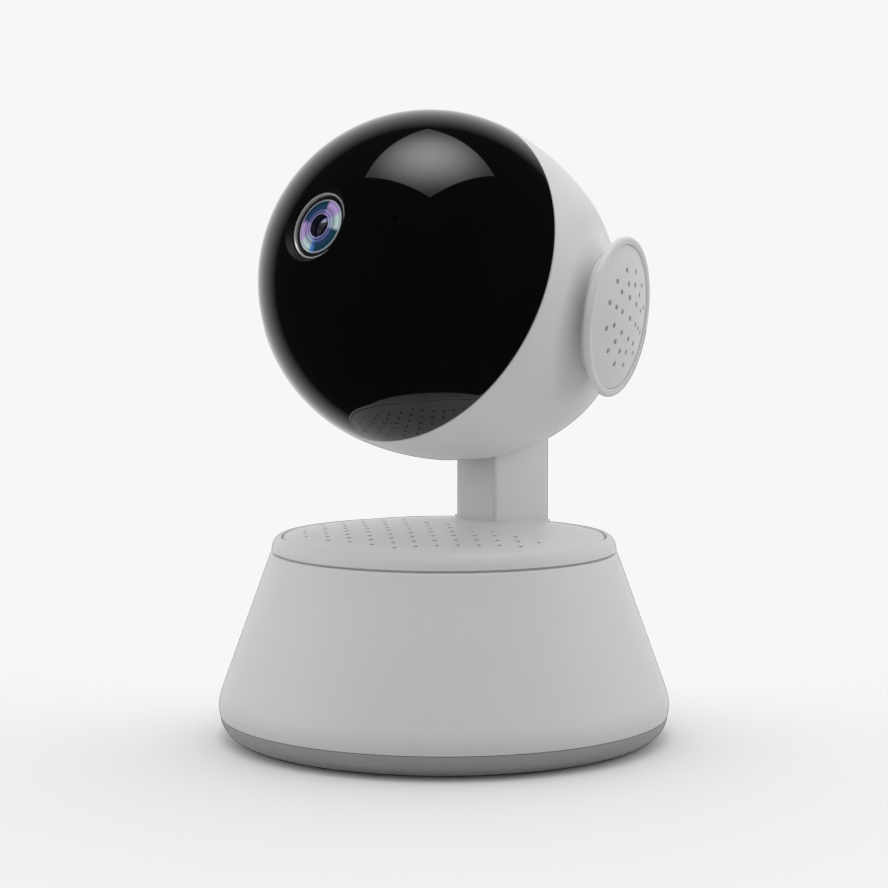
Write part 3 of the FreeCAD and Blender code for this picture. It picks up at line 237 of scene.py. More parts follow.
def belly(steps=14):
    """The rounded foot of the shell: a flat curve that ends along the taper."""
    foot = Vector((45.0 * mm, base_low))
    widest = Vector((base_widest + 0.3 * mm, 7.0 * mm))
    end = Vector((cone_r(cone_low), cone_low))
    handle = end + Vector((tan(taper), -1.0)) * 2.6 * mm
    points = []
    for k in range(steps + 1):
        t = k / steps
        low = foot.lerp(widest, t)
        high = handle.lerp(end, t)
        middle = widest.lerp(handle, t)
        points.append(tuple(low.lerp(middle, t).lerp(middle.lerp(high, t), t)))
    return points


def screw_boss(turn):
    """Boss for a cover screw, cut off slantwise inside the shell's wall."""
    out = Vector((cos(turn), sin(turn), 0))
    spot = out * screw_ring_r
    bm = rod(boss_r, spot + Vector((0, 0, boss_foot)), spot + Vector((0, 0, boss_top)))
    middle = out * cone_r(boss_cut, base_wall / 2) + Vector((0, 0, boss_cut))
    return trimmed(bm, middle, out * cos(taper) + Vector((0, 0, sin(taper))))


housing = piece_of("base_shell", turned(
    belly() + [
        (cone_top_r, base_top, 0.5 * mm), (groove_r, base_top, 0.15 * mm), (groove_r, deck_top),
        (deck_bore_r, deck_top), (deck_bore_r, deck_low), (cone_r(deck_low, base_wall), deck_low),
        (cone_r(cone_low, base_wall), cone_low), (shell_inner_r, 7.4 * mm), (shell_inner_r, base_low)]),
    shell_white, "base", "base_housing")
boss_turns = [pi / 4 + k * pi / 2 for k in range(4)]
boss_spots = [(screw_ring_r * cos(turn), screw_ring_r * sin(turn)) for turn in boss_turns]
motor_x = -16.12 * mm
motor_ear_ys = (-17.5 * mm, 17.5 * mm)
work(housing, together(
    [screw_boss(turn) for turn in boss_turns]
    + [rod(boss_r, (motor_x, y, 28.6 * mm), (motor_x, y, 34.9 * mm)) for y in motor_ear_ys]), "UNION")
pilot_holes = [rod(0.9 * mm, (x, y, 2 * mm), (x, y, 10.9 * mm)) for x, y in boss_spots]
pilot_holes += [rod(1.0 * mm, (motor_x, y, 28 * mm), (motor_x, y, 33.6 * mm)) for y in motor_ear_ys]
slot_pitch = 2.6
slot_side = 0.6
sound_slots = [rounded_box(((slot_pitch * k - slot_side) * mm, -30.2 * mm, 33 * mm),
                           ((slot_pitch * k + slot_side) * mm, -23.8 * mm, 38 * mm), 0.54 * mm, along=2)
               for k in range(-3, 4)]
inside_wall = 30 * mm
outside_wall = 60 * mm
socket_gap = 0.5 * mm
rear_openings = []
for socket in ("power_inlet", "card_socket"):
    low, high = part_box(socket)
    rear_openings.append(rounded_box(
        (low[0] - socket_gap, inside_wall, low[2] - socket_gap),
        (high[0] + socket_gap, outside_wall, high[2] + socket_gap), 0.35 * mm, along=1))
low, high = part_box("reset_button")
button_x = (low[0] + high[0]) / 2
button_z = (low[2] + high[2]) / 2
rear_openings.append(rod(1.68 * mm, (button_x, inside_wall, button_z),
                         (button_x, outside_wall, button_z), 48))
work(housing, together(pilot_holes + sound_slots + rear_openings))

# ---------------------------------------------------------------- reset button
# A small grey plastic push button with a crowned end, guided by its hole in the
# rear wall and kept in by a flange inside.

button_face = high[1]
button_inner = low[1]
button_r = 1.6 * mm
flange_r = 2.3 * mm
flange_top = button_inner + 0.7 * mm
to_rear = Matrix.Translation((button_x, 0, button_z)) @ Matrix.Rotation(-pi / 2, 4, "X")
piece_of("reset_cap", turned([
    (0, button_inner), (flange_r, button_inner), (flange_r, flange_top), (button_r, flange_top),
    (button_r, button_face - 0.1 * mm, 0.3 * mm), (0, button_face)], 48, to_rear),
    satin("button_grey", (0.55, 0.56, 0.57), 0.45), "reset_button", "reset_button")

# ---------------------------------------------------------------- base cover and feet
# The shallow grey tray that closes the base from below, with vent slots, four
# rubber pads, four steel screws in counterbores and a brass insert for a stand.


def dress(finish, *nodes):
    """Gives CAD nodes whose shape is right their finish."""
    for node in nodes:
        for slot in cad[node].material_slots:
            slot.material = finish


def metal(name, colour, roughness, brush=(900.0, 900.0, 900.0)):
    """Bare metal: fine marks drawn out along one axis, and slow changes of gloss."""
    finish = satin(name, colour, roughness, depth=1.5e-6, drift=0.06, mottle=0.08, Metallic=1.0)
    nodes = finish.node_tree.nodes
    link = finish.node_tree.links.new
    stretch = nodes.new("ShaderNodeMapping")
    stretch.inputs["Scale"].default_value = brush
    marks = nodes.new("ShaderNodeTexNoise")
    marks.inputs["Scale"].default_value = 1.0
    marks.inputs["Detail"].default_value = 4.0
    place = next(n for n in nodes if n.type == "TEX_COORD")
    relief = next(n for n in nodes if n.type == "BUMP")
    link(place.outputs["Object"], stretch.inputs["Vector"])
    link(stretch.outputs["Vector"], marks.inputs["Vector"])
    link(marks.outputs["Fac"], relief.inputs["Height"])
    return finish


dress(satin("cover_grey", (0.42, 0.42, 0.43), 0.5), "base_cover")
dress(satin("foot_rubber", (0.06, 0.06, 0.065), 0.8, grain=3000.0, depth=2e-5), "rubber_feet")
dress(metal("screw_steel", (0.45, 0.45, 0.46), 0.34),
      "cover_screws", "board_screws", "pan_motor_screws", "post_screws", "gear_screws",
      "frame_screws", "ir_board_screws")
dress(metal("ballast_steel", (0.38, 0.38, 0.39), 0.42, (4000.0, 500.0, 500.0)), "ballast_plate")
dress(metal("insert_brass", (0.72, 0.55, 0.28), 0.3, (300.0, 300.0, 9000.0)), "tripod_insert")

# ---------------------------------------------------------------- works of the base
# A green circuit board with steel sockets and a switch, a geared steel motor with
# a white acetal pinion, bush and glide ring, and a flat loudspeaker under the deck.


def circuit(name, mask, track):
    """Solder mask over copper tracks that step around each other at right angles."""
    finish = satin(name, mask, 0.35, grain=9000.0, depth=2e-6)
    nodes = finish.node_tree.nodes
    link = finish.node_tree.links.new
    place = next(n for n in nodes if n.type == "TEX_COORD")
    shader = nodes["Principled BSDF"]
    base = shader.inputs["Base Color"].links[0].from_socket
    cells = nodes.new("ShaderNodeTexVoronoi")
    cells.distance = "MANHATTAN"
    cells.feature = "F1"
    cells.inputs["Scale"].default_value = 260.0
    cells.inputs["Randomness"].default_value = 0.8
    link(place.outputs["Object"], cells.inputs["Vector"])
    rings = nodes.new("ShaderNodeMath")
    rings.operation = "SINE"
    spread = nodes.new("ShaderNodeMath")
    spread.operation = "MULTIPLY"
    spread.inputs[1].default_value = 34.0
    link(cells.outputs["Distance"], spread.inputs[0])
    link(spread.outputs["Value"], rings.inputs[0])
    edge = nodes.new("ShaderNodeMapRange")
    edge.inputs["From Min"].default_value = 0.55
    edge.inputs["From Max"].default_value = 0.75
    link(rings.outputs["Value"], edge.inputs["Value"])
    tracks = nodes.new("ShaderNodeMix")
    tracks.data_type = "RGBA"
    tracks.inputs["B"].default_value = (*track, 1)
    link(edge.outputs["Result"], tracks.inputs["Factor"])
    link(base, tracks.inputs["A"])
    link(tracks.outputs["Result"], shader.inputs["Base Color"])
    return finish


board_green = circuit("board_green", (0.03, 0.20, 0.10), (0.05, 0.29, 0.14))
gear_white = satin("gear_white", (0.78, 0.77, 0.73), 0.38, grain=2600.0, depth=3e-6,
                   Subsurface_Weight=0.05)
black_plastic = satin("black_plastic", (0.03, 0.03, 0.03), 0.5, grain=4200.0, depth=8e-6)
motor_steel = metal("motor_steel", (0.55, 0.55, 0.56), 0.3, (700.0, 700.0, 5000.0))
dress(board_green, "main_board")
dress(metal("socket_steel", (0.62, 0.62, 0.63), 0.22), "power_inlet", "card_socket")
dress(black_plastic, "button_switch", "base_speaker")
dress(motor_steel, "pan_motor")
dress(gear_white, "pan_pinion", "pan_bearing", "glide_ring")

# ---------------------------------------------------------------- cap ring
# A separate sloping ring of the same plastic around the turntable. It stands a
# little above the shell, so that a thin dark groove shows all round.

ring_low = base_top + 0.4 * mm
ring_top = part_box("cap_ring")[1][2]
ring_inner_r = 32.6 * mm


def bent(start, pull, end, steps):
    """Points of an even curve from start to end, drawn towards a third point."""
    start, pull, end = Vector(start), Vector(pull), Vector(end)
    return [tuple(start.lerp(pull, k / steps).lerp(pull.lerp(end, k / steps), k / steps))
            for k in range(steps + 1)]


slope = bent((34.55 * mm, ring_low + 0.35 * mm), (34.42 * mm, 39.75 * mm),
             (33.25 * mm, ring_top - 0.1 * mm), 12)
piece_of("cap_rim", turned(
    [(34.62 * mm, ring_low, 0.15 * mm)] + slope + [
        (33.10 * mm, ring_top, 0.1 * mm), (ring_inner_r, ring_top, 0.2 * mm), (ring_inner_r, deck_top),
        (groove_r, deck_top), (groove_r, ring_low)]),
    shell_white, "base", "cap_ring")

# ---------------------------------------------------------------- turntable
# The slightly domed disc that pans with the post. A square grid of fine sound
# holes fills its front half, and a hub and a glide rib below carry it.

disc_curve = 188.7 * mm
disc_peak = 43.09 * mm
disc_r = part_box("turntable_disc")[1][0]
disc_wall = 1.8 * mm
skirt_low = 37.9 * mm
inner_r = disc_r - disc_wall
hub_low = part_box("turntable_disc")[0][2]
hub_r = 7.4 * mm
hub_bore_r = 5.2 * mm
clip_groove_r = 6.6 * mm
clip_groove_low = 29.8 * mm
gear_seat = 30.4 * mm
rib_low = 37.65 * mm
rib_outer_r = 27.0 * mm
rib_inner_r = 24.5 * mm


def crown(radius, inset=0.0):
    """Height of the domed top at a radius, or of a surface at a depth below it."""
    curve = disc_curve - inset
    return disc_peak - disc_curve + sqrt(curve * curve - radius * radius)


def dome(rise, radius, low):
    """A solid with the turntable's domed top, raised by rise, down to a level."""
    return turned([(0, crown(0) + rise)]
                  + [(radius * k / 24, crown(radius * k / 24, -rise)) for k in range(1, 25)]
                  + [(radius, low), (0, low)])


top_curve = [(disc_r * k / 30, crown(disc_r * k / 30)) for k in range(30)]
below_curve = [(r * mm, crown(r * mm, disc_wall)) for r in (30.3, 29.4, 28.2, 27.0)]
inner_curve = [(r * mm, crown(r * mm, disc_wall)) for r in (24.5, 22, 19, 16, 13, 10, 7.4)]
disc = piece_of("turntable_top", turned(
    top_curve + [
        (disc_r, crown(disc_r), 0.35 * mm), (disc_r, skirt_low, 0.15 * mm), (inner_r, skirt_low),
        (inner_r, crown(inner_r, disc_wall))] + below_curve + [
        (rib_outer_r, rib_low), (rib_inner_r, rib_low)] + inner_curve + [
        (hub_r, gear_seat), (clip_groove_r, gear_seat), (clip_groove_r, clip_groove_low),
        (hub_r, clip_groove_low), (hub_r, hub_low), (hub_bore_r, hub_low),
        (hub_bore_r, crown(0, disc_wall)), (0, crown(0, disc_wall))]),
    shell_white, "turntable", "turntable_disc")

cover_low, cover_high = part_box("post_back_cover")
post_half = 5.45 * mm
post_front = 9.24 * mm
post_back = cover_high[1]
post_middle = (post_front + post_back) / 2
pad_out = 1 * mm
pad_slope = 0.0914
work(disc, trimmed(rounded_box((-post_half - pad_out, post_front - pad_out, 38 * mm),
                               (post_half + pad_out, post_back + pad_out, 44 * mm), 1 * mm, along=2),
                   (0, 8.24 * mm, 42.0 * mm), (0, pad_slope, 1)), "UNION")

hole_r = 0.52 * mm
hole_pitch = 4.02 * mm
hole_turn = Matrix.Rotation(radians(49), 3, "Z")
hole_field_r = 28.7 * mm
grid_reach = range(-8, 9)
grid_x = 0.08
grid_y = -0.31
sound_holes = []
for i in grid_reach:
    for j in grid_reach:
        spot = hole_turn @ Vector((i + grid_x, j + grid_y, 0)) * hole_pitch
        if spot.length < hole_field_r and spot.y < -1 * mm:
            sound_holes.append(rod(hole_r, spot + Vector((0, 0, 36.6 * mm)),
                                   spot + Vector((0, 0, 45 * mm)), 20))
cable_way_low = (-2.4 * mm, post_middle - 4 * mm, 28 * mm)
cable_way_high = (2.4 * mm, post_middle + 4 * mm, 47.5 * mm)
post_screw_ys = (12.94 * mm, 22.15 * mm)
post_screw_holes = [rod(1.1 * mm, (0, y, 37 * mm), (0, y, 45 * mm)) for y in post_screw_ys]
work(disc, together(sound_holes + post_screw_holes))
work(disc, rounded_box(cable_way_low, cable_way_high, 1.5 * mm, along=2))
dress(gear_white, "pan_gear")
dress(metal("spring_steel", (0.30, 0.30, 0.32), 0.35), "pan_clip")

# ---------------------------------------------------------------- post
# The upright arm that carries the head: a hollow moulding with rounded corners
# and a low collar on the turntable, closed behind by a flat cover over its duct.

tilt_axis = Vector(next(joint for joint in frame["joints"] if joint["name"] == "tilt")["pos_m"])
post_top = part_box("post")[1][2]
duct_low = 46.5 * mm
duct_top = tilt_axis.z - 6 * mm
top_rounding = 5 * mm
side_rounding = 0.8 * mm


def post_blank():
    """The arm's outside: big curves over its top, small ones around both sides."""
    bm = rounded_box((-post_half, post_front, skirt_low), (post_half, post_back, post_top))
    over = [e for e in bm.edges if all(v.co.z > post_top - 0.1 * mm for v in e.verts)
            and abs(e.verts[0].co.x - e.verts[1].co.x) > 1 * mm]
    bmesh.ops.bevel(bm, geom=over, offset=top_rounding, offset_type="OFFSET", segments=10,
                    profile=0.5, affect="EDGES", material=-1)
    sides = [e for e in bm.edges if abs(e.verts[0].co.x - e.verts[1].co.x) < 0.1 * mm
             and any(v.co.z > skirt_low + 1 * mm for v in e.verts)]
    bmesh.ops.bevel(bm, geom=sides, offset=side_rounding, offset_type="OFFSET", segments=5,
                    profile=0.5, affect="EDGES", material=-1)
    return bm


collar_out = 0.5 * mm
arm = piece_of("post_arm", rounded_box(
    (-post_half - collar_out, post_front - collar_out, skirt_low),
    (post_half + collar_out, post_back + collar_out, duct_low), 1.3 * mm, along=2),
    shell_white, "turntable", "post")
work(arm, dome(0.55 * mm, disc_r, 36 * mm), "INTERSECT")
work(arm, post_blank(), "UNION")
work(arm, dome(0.0, 31.5 * mm, 30 * mm))
cover_gap = 0.06 * mm
work(arm, together([
    rounded_box((-3.65 * mm, 11.04 * mm, duct_low), (3.65 * mm, post_back - 1.19 * mm, duct_top)),
    rod(3.15 * mm, (-9 * mm, tilt_axis.y, tilt_axis.z), (9 * mm, tilt_axis.y, tilt_axis.z), 64)]))
work(arm, rounded_box((cover_low[0] - cover_gap, cover_low[1], cover_low[2] - cover_gap),
                      (cover_high[0] + cover_gap, 30 * mm, cover_high[2] + cover_gap)))
work(arm, rounded_box(cable_way_low, cable_way_high, 1.5 * mm, along=2))
gear_screw_ring = 5.4 * mm
gear_screw_turns = [pi / 2 + k * 2 * pi / 3 for k in range(3)]
gear_screw_spots = [(tilt_axis.y + gear_screw_ring * cos(turn), tilt_axis.z + gear_screw_ring * sin(turn))
                    for turn in gear_screw_turns]
work(arm, together(
    [rod(0.9 * mm, (0, y, 38 * mm), (0, y, duct_low + 0.5 * mm)) for y in post_screw_ys]
    + [rod(0.6 * mm, (2.2 * mm, y, z), (7 * mm, y, z)) for y, z in gear_screw_spots]))
piece_of("post_cover_plate", rounded_box(cover_low, cover_high, 0.3 * mm), shell_white,
         "turntable", "post_back_cover")
dress(gear_white, "tilt_gear", "post_bush_right", "post_bush_left")
dress(satin("shield_dark", (0.10, 0.10, 0.105), 0.55), "slot_shield")

# ---------------------------------------------------------------- head shell
# The egg-shaped back of the head, moulded with a slot for the post underneath,
# a round seat for each ear, and a rebate in front for the mask and its seal.

head_r = 34.05 * mm
head_back = 46.4 * mm
head_wall = 2.0 * mm
rim_ahead = 3.1 * mm
joint_half = 0.06 * mm
tilt_back = 22.0 * mm
elevation = radians(20)
head_turn = Matrix.Rotation(-elevation, 4, "X")
head_centre = tilt_axis - head_turn.to_3x3() @ Vector((0, tilt_back, 0))
in_head = Matrix.Translation(head_centre) @ head_turn
ahead = in_head @ Matrix.Rotation(pi / 2, 4, "X")


def egg(inset, front, steps=44):
    """Half outline of the head from a level ahead of its centre round to its back."""
    r = head_r - inset
    points = [(sqrt(r * r - z * z), z) for z in (front, front * 0.66, front * 0.33)]
    points += [(r * cos(pi / 2 * k / steps), -(head_back - inset) * sin(pi / 2 * k / steps))
               for k in range(steps)]
    return points + [(0, -(head_back - inset))]


rim = rim_ahead - joint_half
seat = rim - 0.6 * mm
rebate_r = 32.65 * mm
outer_curve = egg(0, rim)
outer_curve[0] = (*outer_curve[0], 0.2 * mm)
shell = piece_of("head_shell", turned(
    outer_curve + egg(head_wall, seat)[::-1] + [(rebate_r, seat), (rebate_r, rim)], place=ahead),
    shell_white, "head", "rear_shell")

lug_ring = 28.0 * mm
lug_spots = [(lug_ring * cos(turn), lug_ring * sin(turn)) for turn in gear_screw_turns]
lug_reach = (head_r - head_wall / 2) / lug_ring
lug_level = 3.5 * mm
work(shell, together([rod(2.4 * mm, in_head @ Vector((x, -0.9 * mm, z)), in_head @ Vector((x, 8 * mm, z)))
                      for x, z in lug_spots]), "UNION")
work(shell, together([rod(1.6 * mm, in_head @ Vector((x, lug_level, z)),
                          in_head @ Vector((x * lug_reach, lug_level, z * lug_reach)))
                      for x, z in lug_spots]), "UNION")


def ear_frame(side):
    """An ear's own frame: Z points outwards, Y upwards; the left one is mirrored."""
    sweep = radians(19.3)
    out = Vector((cos(sweep), sin(sweep), 0))
    back = Vector((-sin(sweep), cos(sweep), 0))
    frame_of = Matrix((back, (0, 0, 1), out)).transposed().to_4x4()
    right = Matrix.Translation((30.8 * mm, tilt_back, 1.0 * mm)) @ frame_of
    return in_head @ Matrix.Diagonal((side, 1, 1, 1)) @ right


ear_r = 15.76 * mm
dip_width = 6.5 * mm
ear_well = -13 * mm
well_r = 11.62 * mm
ear_seat = -1.42 * mm
seat_r = ear_r + 0.12 * mm
for side in (1, -1):
    ear = ear_frame(side)
    to_ear = ear.inverted()
    sink = ear.to_3x3().col[2] * 1.4 * mm
    for vert in shell.data.vertices:
        spot = to_ear @ vert.co
        share = 1 - max(spot.xy.length - ear_r, 0) / dip_width
        if share > 0 and spot.z > -14 * mm:
            vert.co -= sink * share ** 2 * (3 - 2 * share)
    work(shell, turned([(0, ear_well), (well_r, ear_well), (well_r, -2.02 * mm), (ear_r, ear_seat),
                        (seat_r, ear_seat), (seat_r, 10 * mm), (0, 10 * mm)], 160, ear))

# The slot is the room that the post takes up while the head tilts.
slot_half = post_half + 0.6 * mm
tilt_swing = (2, 55)
slot_ahead = -8.03 * mm
slot_behind = 9.78 * mm
post_sweep = bmesh.new()
for turn in tilt_swing:
    swung = in_head @ Matrix.Translation((0, tilt_back, 0)) @ Matrix.Rotation(radians(turn), 4, "X")
    for x in (-slot_half, slot_half):
        for y in (slot_ahead, slot_behind):
            for z in (-60 * mm, -10 * mm):
                post_sweep.verts.new(swung @ Vector((x, y, z)))
hull = bmesh.ops.convex_hull(post_sweep, input=post_sweep.verts[:])
bmesh.ops.delete(post_sweep, geom=hull["geom_interior"], context="VERTS")
bmesh.ops.recalc_face_normals(post_sweep, faces=post_sweep.faces)
work(shell, post_sweep)
work(shell, together([rod(0.9 * mm, in_head @ Vector((x, -2 * mm, z)), in_head @ Vector((x, 7 * mm, z)))
                      for x, z in lug_spots]))

# ---------------------------------------------------------------- front mask
# The deep black spherical window over the whole front, polished like glass, with
# the bevelled lens opening and a pinhole for the brightness sensor. A thin dark
# seal lies in its joint with the shell.

mask_inner_r = 32.55 * mm
spigot_r = 31.8 * mm
spigot_inner_r = 30.4 * mm
spigot_back = 2.95 * mm
spigot_front = 9 * mm
lens_hole_r = 6.75 * mm
bevel_r = 7.65 * mm
bevel_top = sqrt(head_r ** 2 - bevel_r ** 2)
mask_edge = rim_ahead + joint_half
sensor_x = 17.0 * mm
sensor_z = 2.1 * mm


def cap_curve(r, low_z, edge_r, steps):
    """Outline points on a sphere from a level up to a radius, evenly along the arc."""
    start = asin(low_z / r)
    end = acos(edge_r / r)
    turns = [start + (end - start) * k / steps for k in range(steps + 1)]
    return [(r * cos(t), r * sin(t)) for t in turns]


mask_black = satin("mask_black", (0.0022, 0.0022, 0.0025), 0.035, grain=1200.0, depth=0.0, drift=0.015,
                   mottle=0.3, IOR=1.62)
outer_cap = cap_curve(head_r, mask_edge, bevel_r, 64)
outer_cap[0] = (*outer_cap[0], 0.2 * mm)
mask = piece_of("mask_window", turned(
    outer_cap + [(lens_hole_r, bevel_top - 0.9 * mm)]
    + cap_curve(mask_inner_r, spigot_front, lens_hole_r, 40)[::-1] + [
        (spigot_inner_r, spigot_front), (spigot_inner_r, spigot_back), (spigot_r, spigot_back)]
    + cap_curve(mask_inner_r, mask_edge, spigot_r, 4)[::-1], 288, ahead),
    mask_black, "head", "front_mask", 24)
sensor_spot = Vector((sensor_x, -sqrt(head_r ** 2 - sensor_x ** 2 - sensor_z ** 2), sensor_z))
work(mask, rod(0.4 * mm, in_head @ (sensor_spot * 0.8), in_head @ (sensor_spot * 1.1), 24))
smooth(mask, 24)
bevel_black = satin("mask_bevel", (0.006, 0.006, 0.0065), 0.5, grain=3500.0, depth=4e-6, IOR=1.3)
mask.data.materials.append(bevel_black)
to_lens = ahead.inverted()
for face in mask.data.polygons:
    spot = to_lens @ face.center
    if spot.z > 30 * mm and lens_hole_r - 0.05 * mm < spot.xy.length < bevel_r - 0.02 * mm:
        face.material_index = 1
dress(satin("seal_rubber", (0.03, 0.03, 0.03), 0.75), "mask_seal")

# ---------------------------------------------------------------- works of the head
# A black moulded frame with arms for the steel tilt axle, a small geared motor
# with its pinion, and two boards: one behind the lens, one with infrared diodes.

dress(satin("frame_black", (0.04, 0.04, 0.04), 0.5, grain=4000.0, depth=9e-6), "head_frame")
dress(metal("axle_steel", (0.60, 0.60, 0.61), 0.22, (4000.0, 400.0, 400.0)), "tilt_axle")
dress(motor_steel, "tilt_motor")
dress(gear_white, "tilt_pinion")
dress(board_green, "sensor_board")
dress(circuit("board_black", (0.02, 0.02, 0.02), (0.035, 0.035, 0.035)), "ir_board")
dress(satin("chip_black", (0.02, 0.02, 0.022), 0.45, grain=7000.0, depth=4e-6),
      "image_sensor", "light_sensor")
dress(satin("led_dark", (0.05, 0.03, 0.05), 0.12, depth=1e-6, drift=0.03, Transmission_Weight=0.3),
      "ir_leds")
dress(metal("spacer_brass", (0.72, 0.55, 0.28), 0.3), "board_spacers")
dress(black_plastic, "lens_holder")

# ---------------------------------------------------------------- lens
# A black anodised barrel in a thin silver ring, with a domed front glass over a
# smaller one. The coatings' lilac, pale blue and deep teal reflections are painted into the front glass's
# colour.

lens_front = 32.0 * mm
silver_r = 6.65 * mm
silver_inner_r = 6.25 * mm
silver_low = lens_front - 2.2 * mm
silver_shoulder = lens_front - 0.22 * mm
trim_silver = satin("trim_silver", (0.90, 0.90, 0.91), 0.24, depth=4e-7, Metallic=0.5)
piece_of("lens_ring", turned(
    [(silver_inner_r, silver_low), (silver_r, silver_low)]
    + bent((silver_r, silver_shoulder), (6.64 * mm, lens_front), (6.45 * mm, lens_front), 6)
    + bent((6.43 * mm, lens_front), (6.27 * mm, lens_front - 0.02 * mm),
           (silver_inner_r, silver_shoulder), 6), 160, ahead),
    trim_silver, "head", "lens_trim")
barrel_black = satin("barrel_black", (0.010, 0.010, 0.012), 0.28, grain=6000.0, depth=3e-6, drift=0.05)
barrel_front = 31.5 * mm
barrel_r = 6.2 * mm
thread_r = 5.2 * mm
barrel_step = barrel_front - 6 * mm
barrel_back = barrel_front - 13 * mm
barrel_bore_r = 2.6 * mm
mouth_r = 5.5 * mm
glass_seat = barrel_front - 1.7 * mm
inner_pocket_r = 3.8 * mm
inner_seat = 27.2 * mm
piece_of("lens_tube", turned([
    (mouth_r, barrel_front, 0.12 * mm), (barrel_r, barrel_front, 0.15 * mm), (barrel_r, barrel_step),
    (thread_r, barrel_step), (thread_r, barrel_back), (barrel_bore_r, barrel_back),
    (barrel_bore_r, inner_seat), (inner_pocket_r, inner_seat), (inner_pocket_r, 29.4 * mm),
    (4.7 * mm, glass_seat), (mouth_r, glass_seat)], 160, ahead),
    barrel_black, "head", "lens_barrel")


def lens_arc(radius, edge, peak, steps=20):
    """Outline of a domed glass from its edge up to its middle."""
    curve = (radius * radius + (peak - edge) ** 2) / (2 * (peak - edge))
    offsets = [radius * (1 - k / steps) for k in range(steps + 1)]
    return [(offset, peak - curve + sqrt(curve ** 2 - offset ** 2)) for offset in offsets]


def tint_ramp(nodes, stops):
    """Colours that run softly into each other from one stop to the next."""
    ramp = nodes.new("ShaderNodeValToRGB")
    ramp.color_ramp.interpolation = "EASE"
    elements = ramp.color_ramp.elements
    elements.remove(elements[1])
    elements[0].position = stops[0][0]
    elements[0].color = stops[0][1]
    for position, colour in stops[1:]:
        elements.new(position).color = colour
    return ramp


def painted_reflection_glass(name, around, outwards, reach, clear=None, **constants):
    """Glass with its coating's reflections painted into its colour: tints around the axis, rings from the
    middle out, and how clear they are. On a metallic glass the tints colour its real reflections.
    """
    finish = bpy.data.materials.new(name)
    finish.use_nodes = True
    nodes = finish.node_tree.nodes
    link = finish.node_tree.links.new
    shader = nodes["Principled BSDF"]
    for socket, value in constants.items():
        shader.inputs[socket.replace("_", " ")].default_value = value
    place = nodes.new("ShaderNodeTexCoord")
    lens_place = nodes.new("ShaderNodeMapping")
    lens_place.vector_type = "TEXTURE"
    lens_place.inputs["Location"].default_value = ahead.translation
    lens_place.inputs["Rotation"].default_value = ahead.to_euler()
    link(place.outputs["Object"], lens_place.inputs["Vector"])
    parts = nodes.new("ShaderNodeSeparateXYZ")
    link(lens_place.outputs["Vector"], parts.inputs["Vector"])
    turn = nodes.new("ShaderNodeMath")
    turn.operation = "ARCTAN2"
    link(parts.outputs["Y"], turn.inputs[0])
    link(parts.outputs["X"], turn.inputs[1])
    round_share = nodes.new("ShaderNodeMapRange")
    round_share.inputs["From Min"].default_value = -pi
    round_share.inputs["From Max"].default_value = pi
    link(turn.outputs["Value"], round_share.inputs["Value"])
    flat = nodes.new("ShaderNodeCombineXYZ")
    link(parts.outputs["X"], flat.inputs["X"])
    link(parts.outputs["Y"], flat.inputs["Y"])
    off_axis = nodes.new("ShaderNodeVectorMath")
    off_axis.operation = "LENGTH"
    link(flat.outputs["Vector"], off_axis.inputs[0])
    out = nodes.new("ShaderNodeMapRange")
    out.inputs["From Max"].default_value = reach
    link(off_axis.outputs["Value"], out.inputs["Value"])
    tints = tint_ramp(nodes, around)
    rings = tint_ramp(nodes, outwards)
    link(round_share.outputs["Result"], tints.inputs["Fac"])
    link(out.outputs["Result"], rings.inputs["Fac"])
    mixed = nodes.new("ShaderNodeMix")
    mixed.data_type = "RGBA"
    link(rings.outputs["Alpha"], mixed.inputs["Factor"])
    link(tints.outputs["Color"], mixed.inputs["A"])
    link(rings.outputs["Color"], mixed.inputs["B"])
    link(mixed.outputs["Result"], shader.inputs["Base Color"])
    if clear:
        open_glass = tint_ramp(nodes, [(position, (share, share, share, 1)) for position, share in clear])
        link(out.outputs["Result"], open_glass.inputs["Fac"])
        link(open_glass.outputs["Color"], shader.inputs["Transmission Weight"])
    return finish


def turn_share(degrees):
    """Where an angle around the lens lies on a colour ramp."""
    return (degrees + 180) / 360


front_glass_r = 5.47 * mm
inner_glass_r = 3.77 * mm
inner_glass_edge = 29.35 * mm
lilac = (0.74, 0.50, 1.0, 1)
ice = (0.80, 1.0, 1.0, 1)
deep_teal = (0.008, 0.055, 0.085, 1)
blue = (0.10, 0.32, 0.85, 1)
# The lilac, ice, blue and teal zones and rings below are painted reflections, light and dark, in the
# glass's colour.
front_painted_reflections = painted_reflection_glass("coated_glass", [
    (turn_share(-180), lilac), (turn_share(-152), lilac), (turn_share(-138), ice), (turn_share(-112), ice),
    (turn_share(-100), blue), (turn_share(-86), deep_teal), (turn_share(-14), deep_teal),
    (turn_share(-4), ice), (turn_share(24), ice), (turn_share(38), lilac), (turn_share(74), lilac),
    (turn_share(84), deep_teal), (turn_share(160), (0.012, 0.05, 0.13, 1)), (turn_share(177), lilac)], [
    (0.0, (1.0, 1.0, 1.0, 1.0)), (0.34, (0.92, 0.94, 1.0, 1.0)), (0.38, (0.14, 0.09, 0.50, 0.95)),
    (0.44, (0.66, 0.56, 1.0, 0.55)), (0.50, (0.05, 0.06, 0.26, 0.75)), (0.57, (0.30, 0.36, 0.80, 0.45)),
    (0.63, (0.03, 0.06, 0.20, 0.65)), (0.74, (0.06, 0.12, 0.28, 0.25)), (0.84, (0.06, 0.12, 0.28, 0.0)),
    (0.91, (0.02, 0.05, 0.10, 0.45)), (0.945, (0.85, 0.92, 1.0, 0.55)), (0.98, (0.30, 0.36, 0.42, 0.7)),
    (1.0, (0.03, 0.03, 0.03, 1.0))],
    front_glass_r, [(0.0, 1.0), (0.40, 1.0), (0.46, 0.1), (1.0, 0.0)],
    Roughness=0.03, IOR=1.5, Coat_Weight=1.0, Coat_Roughness=0.02)
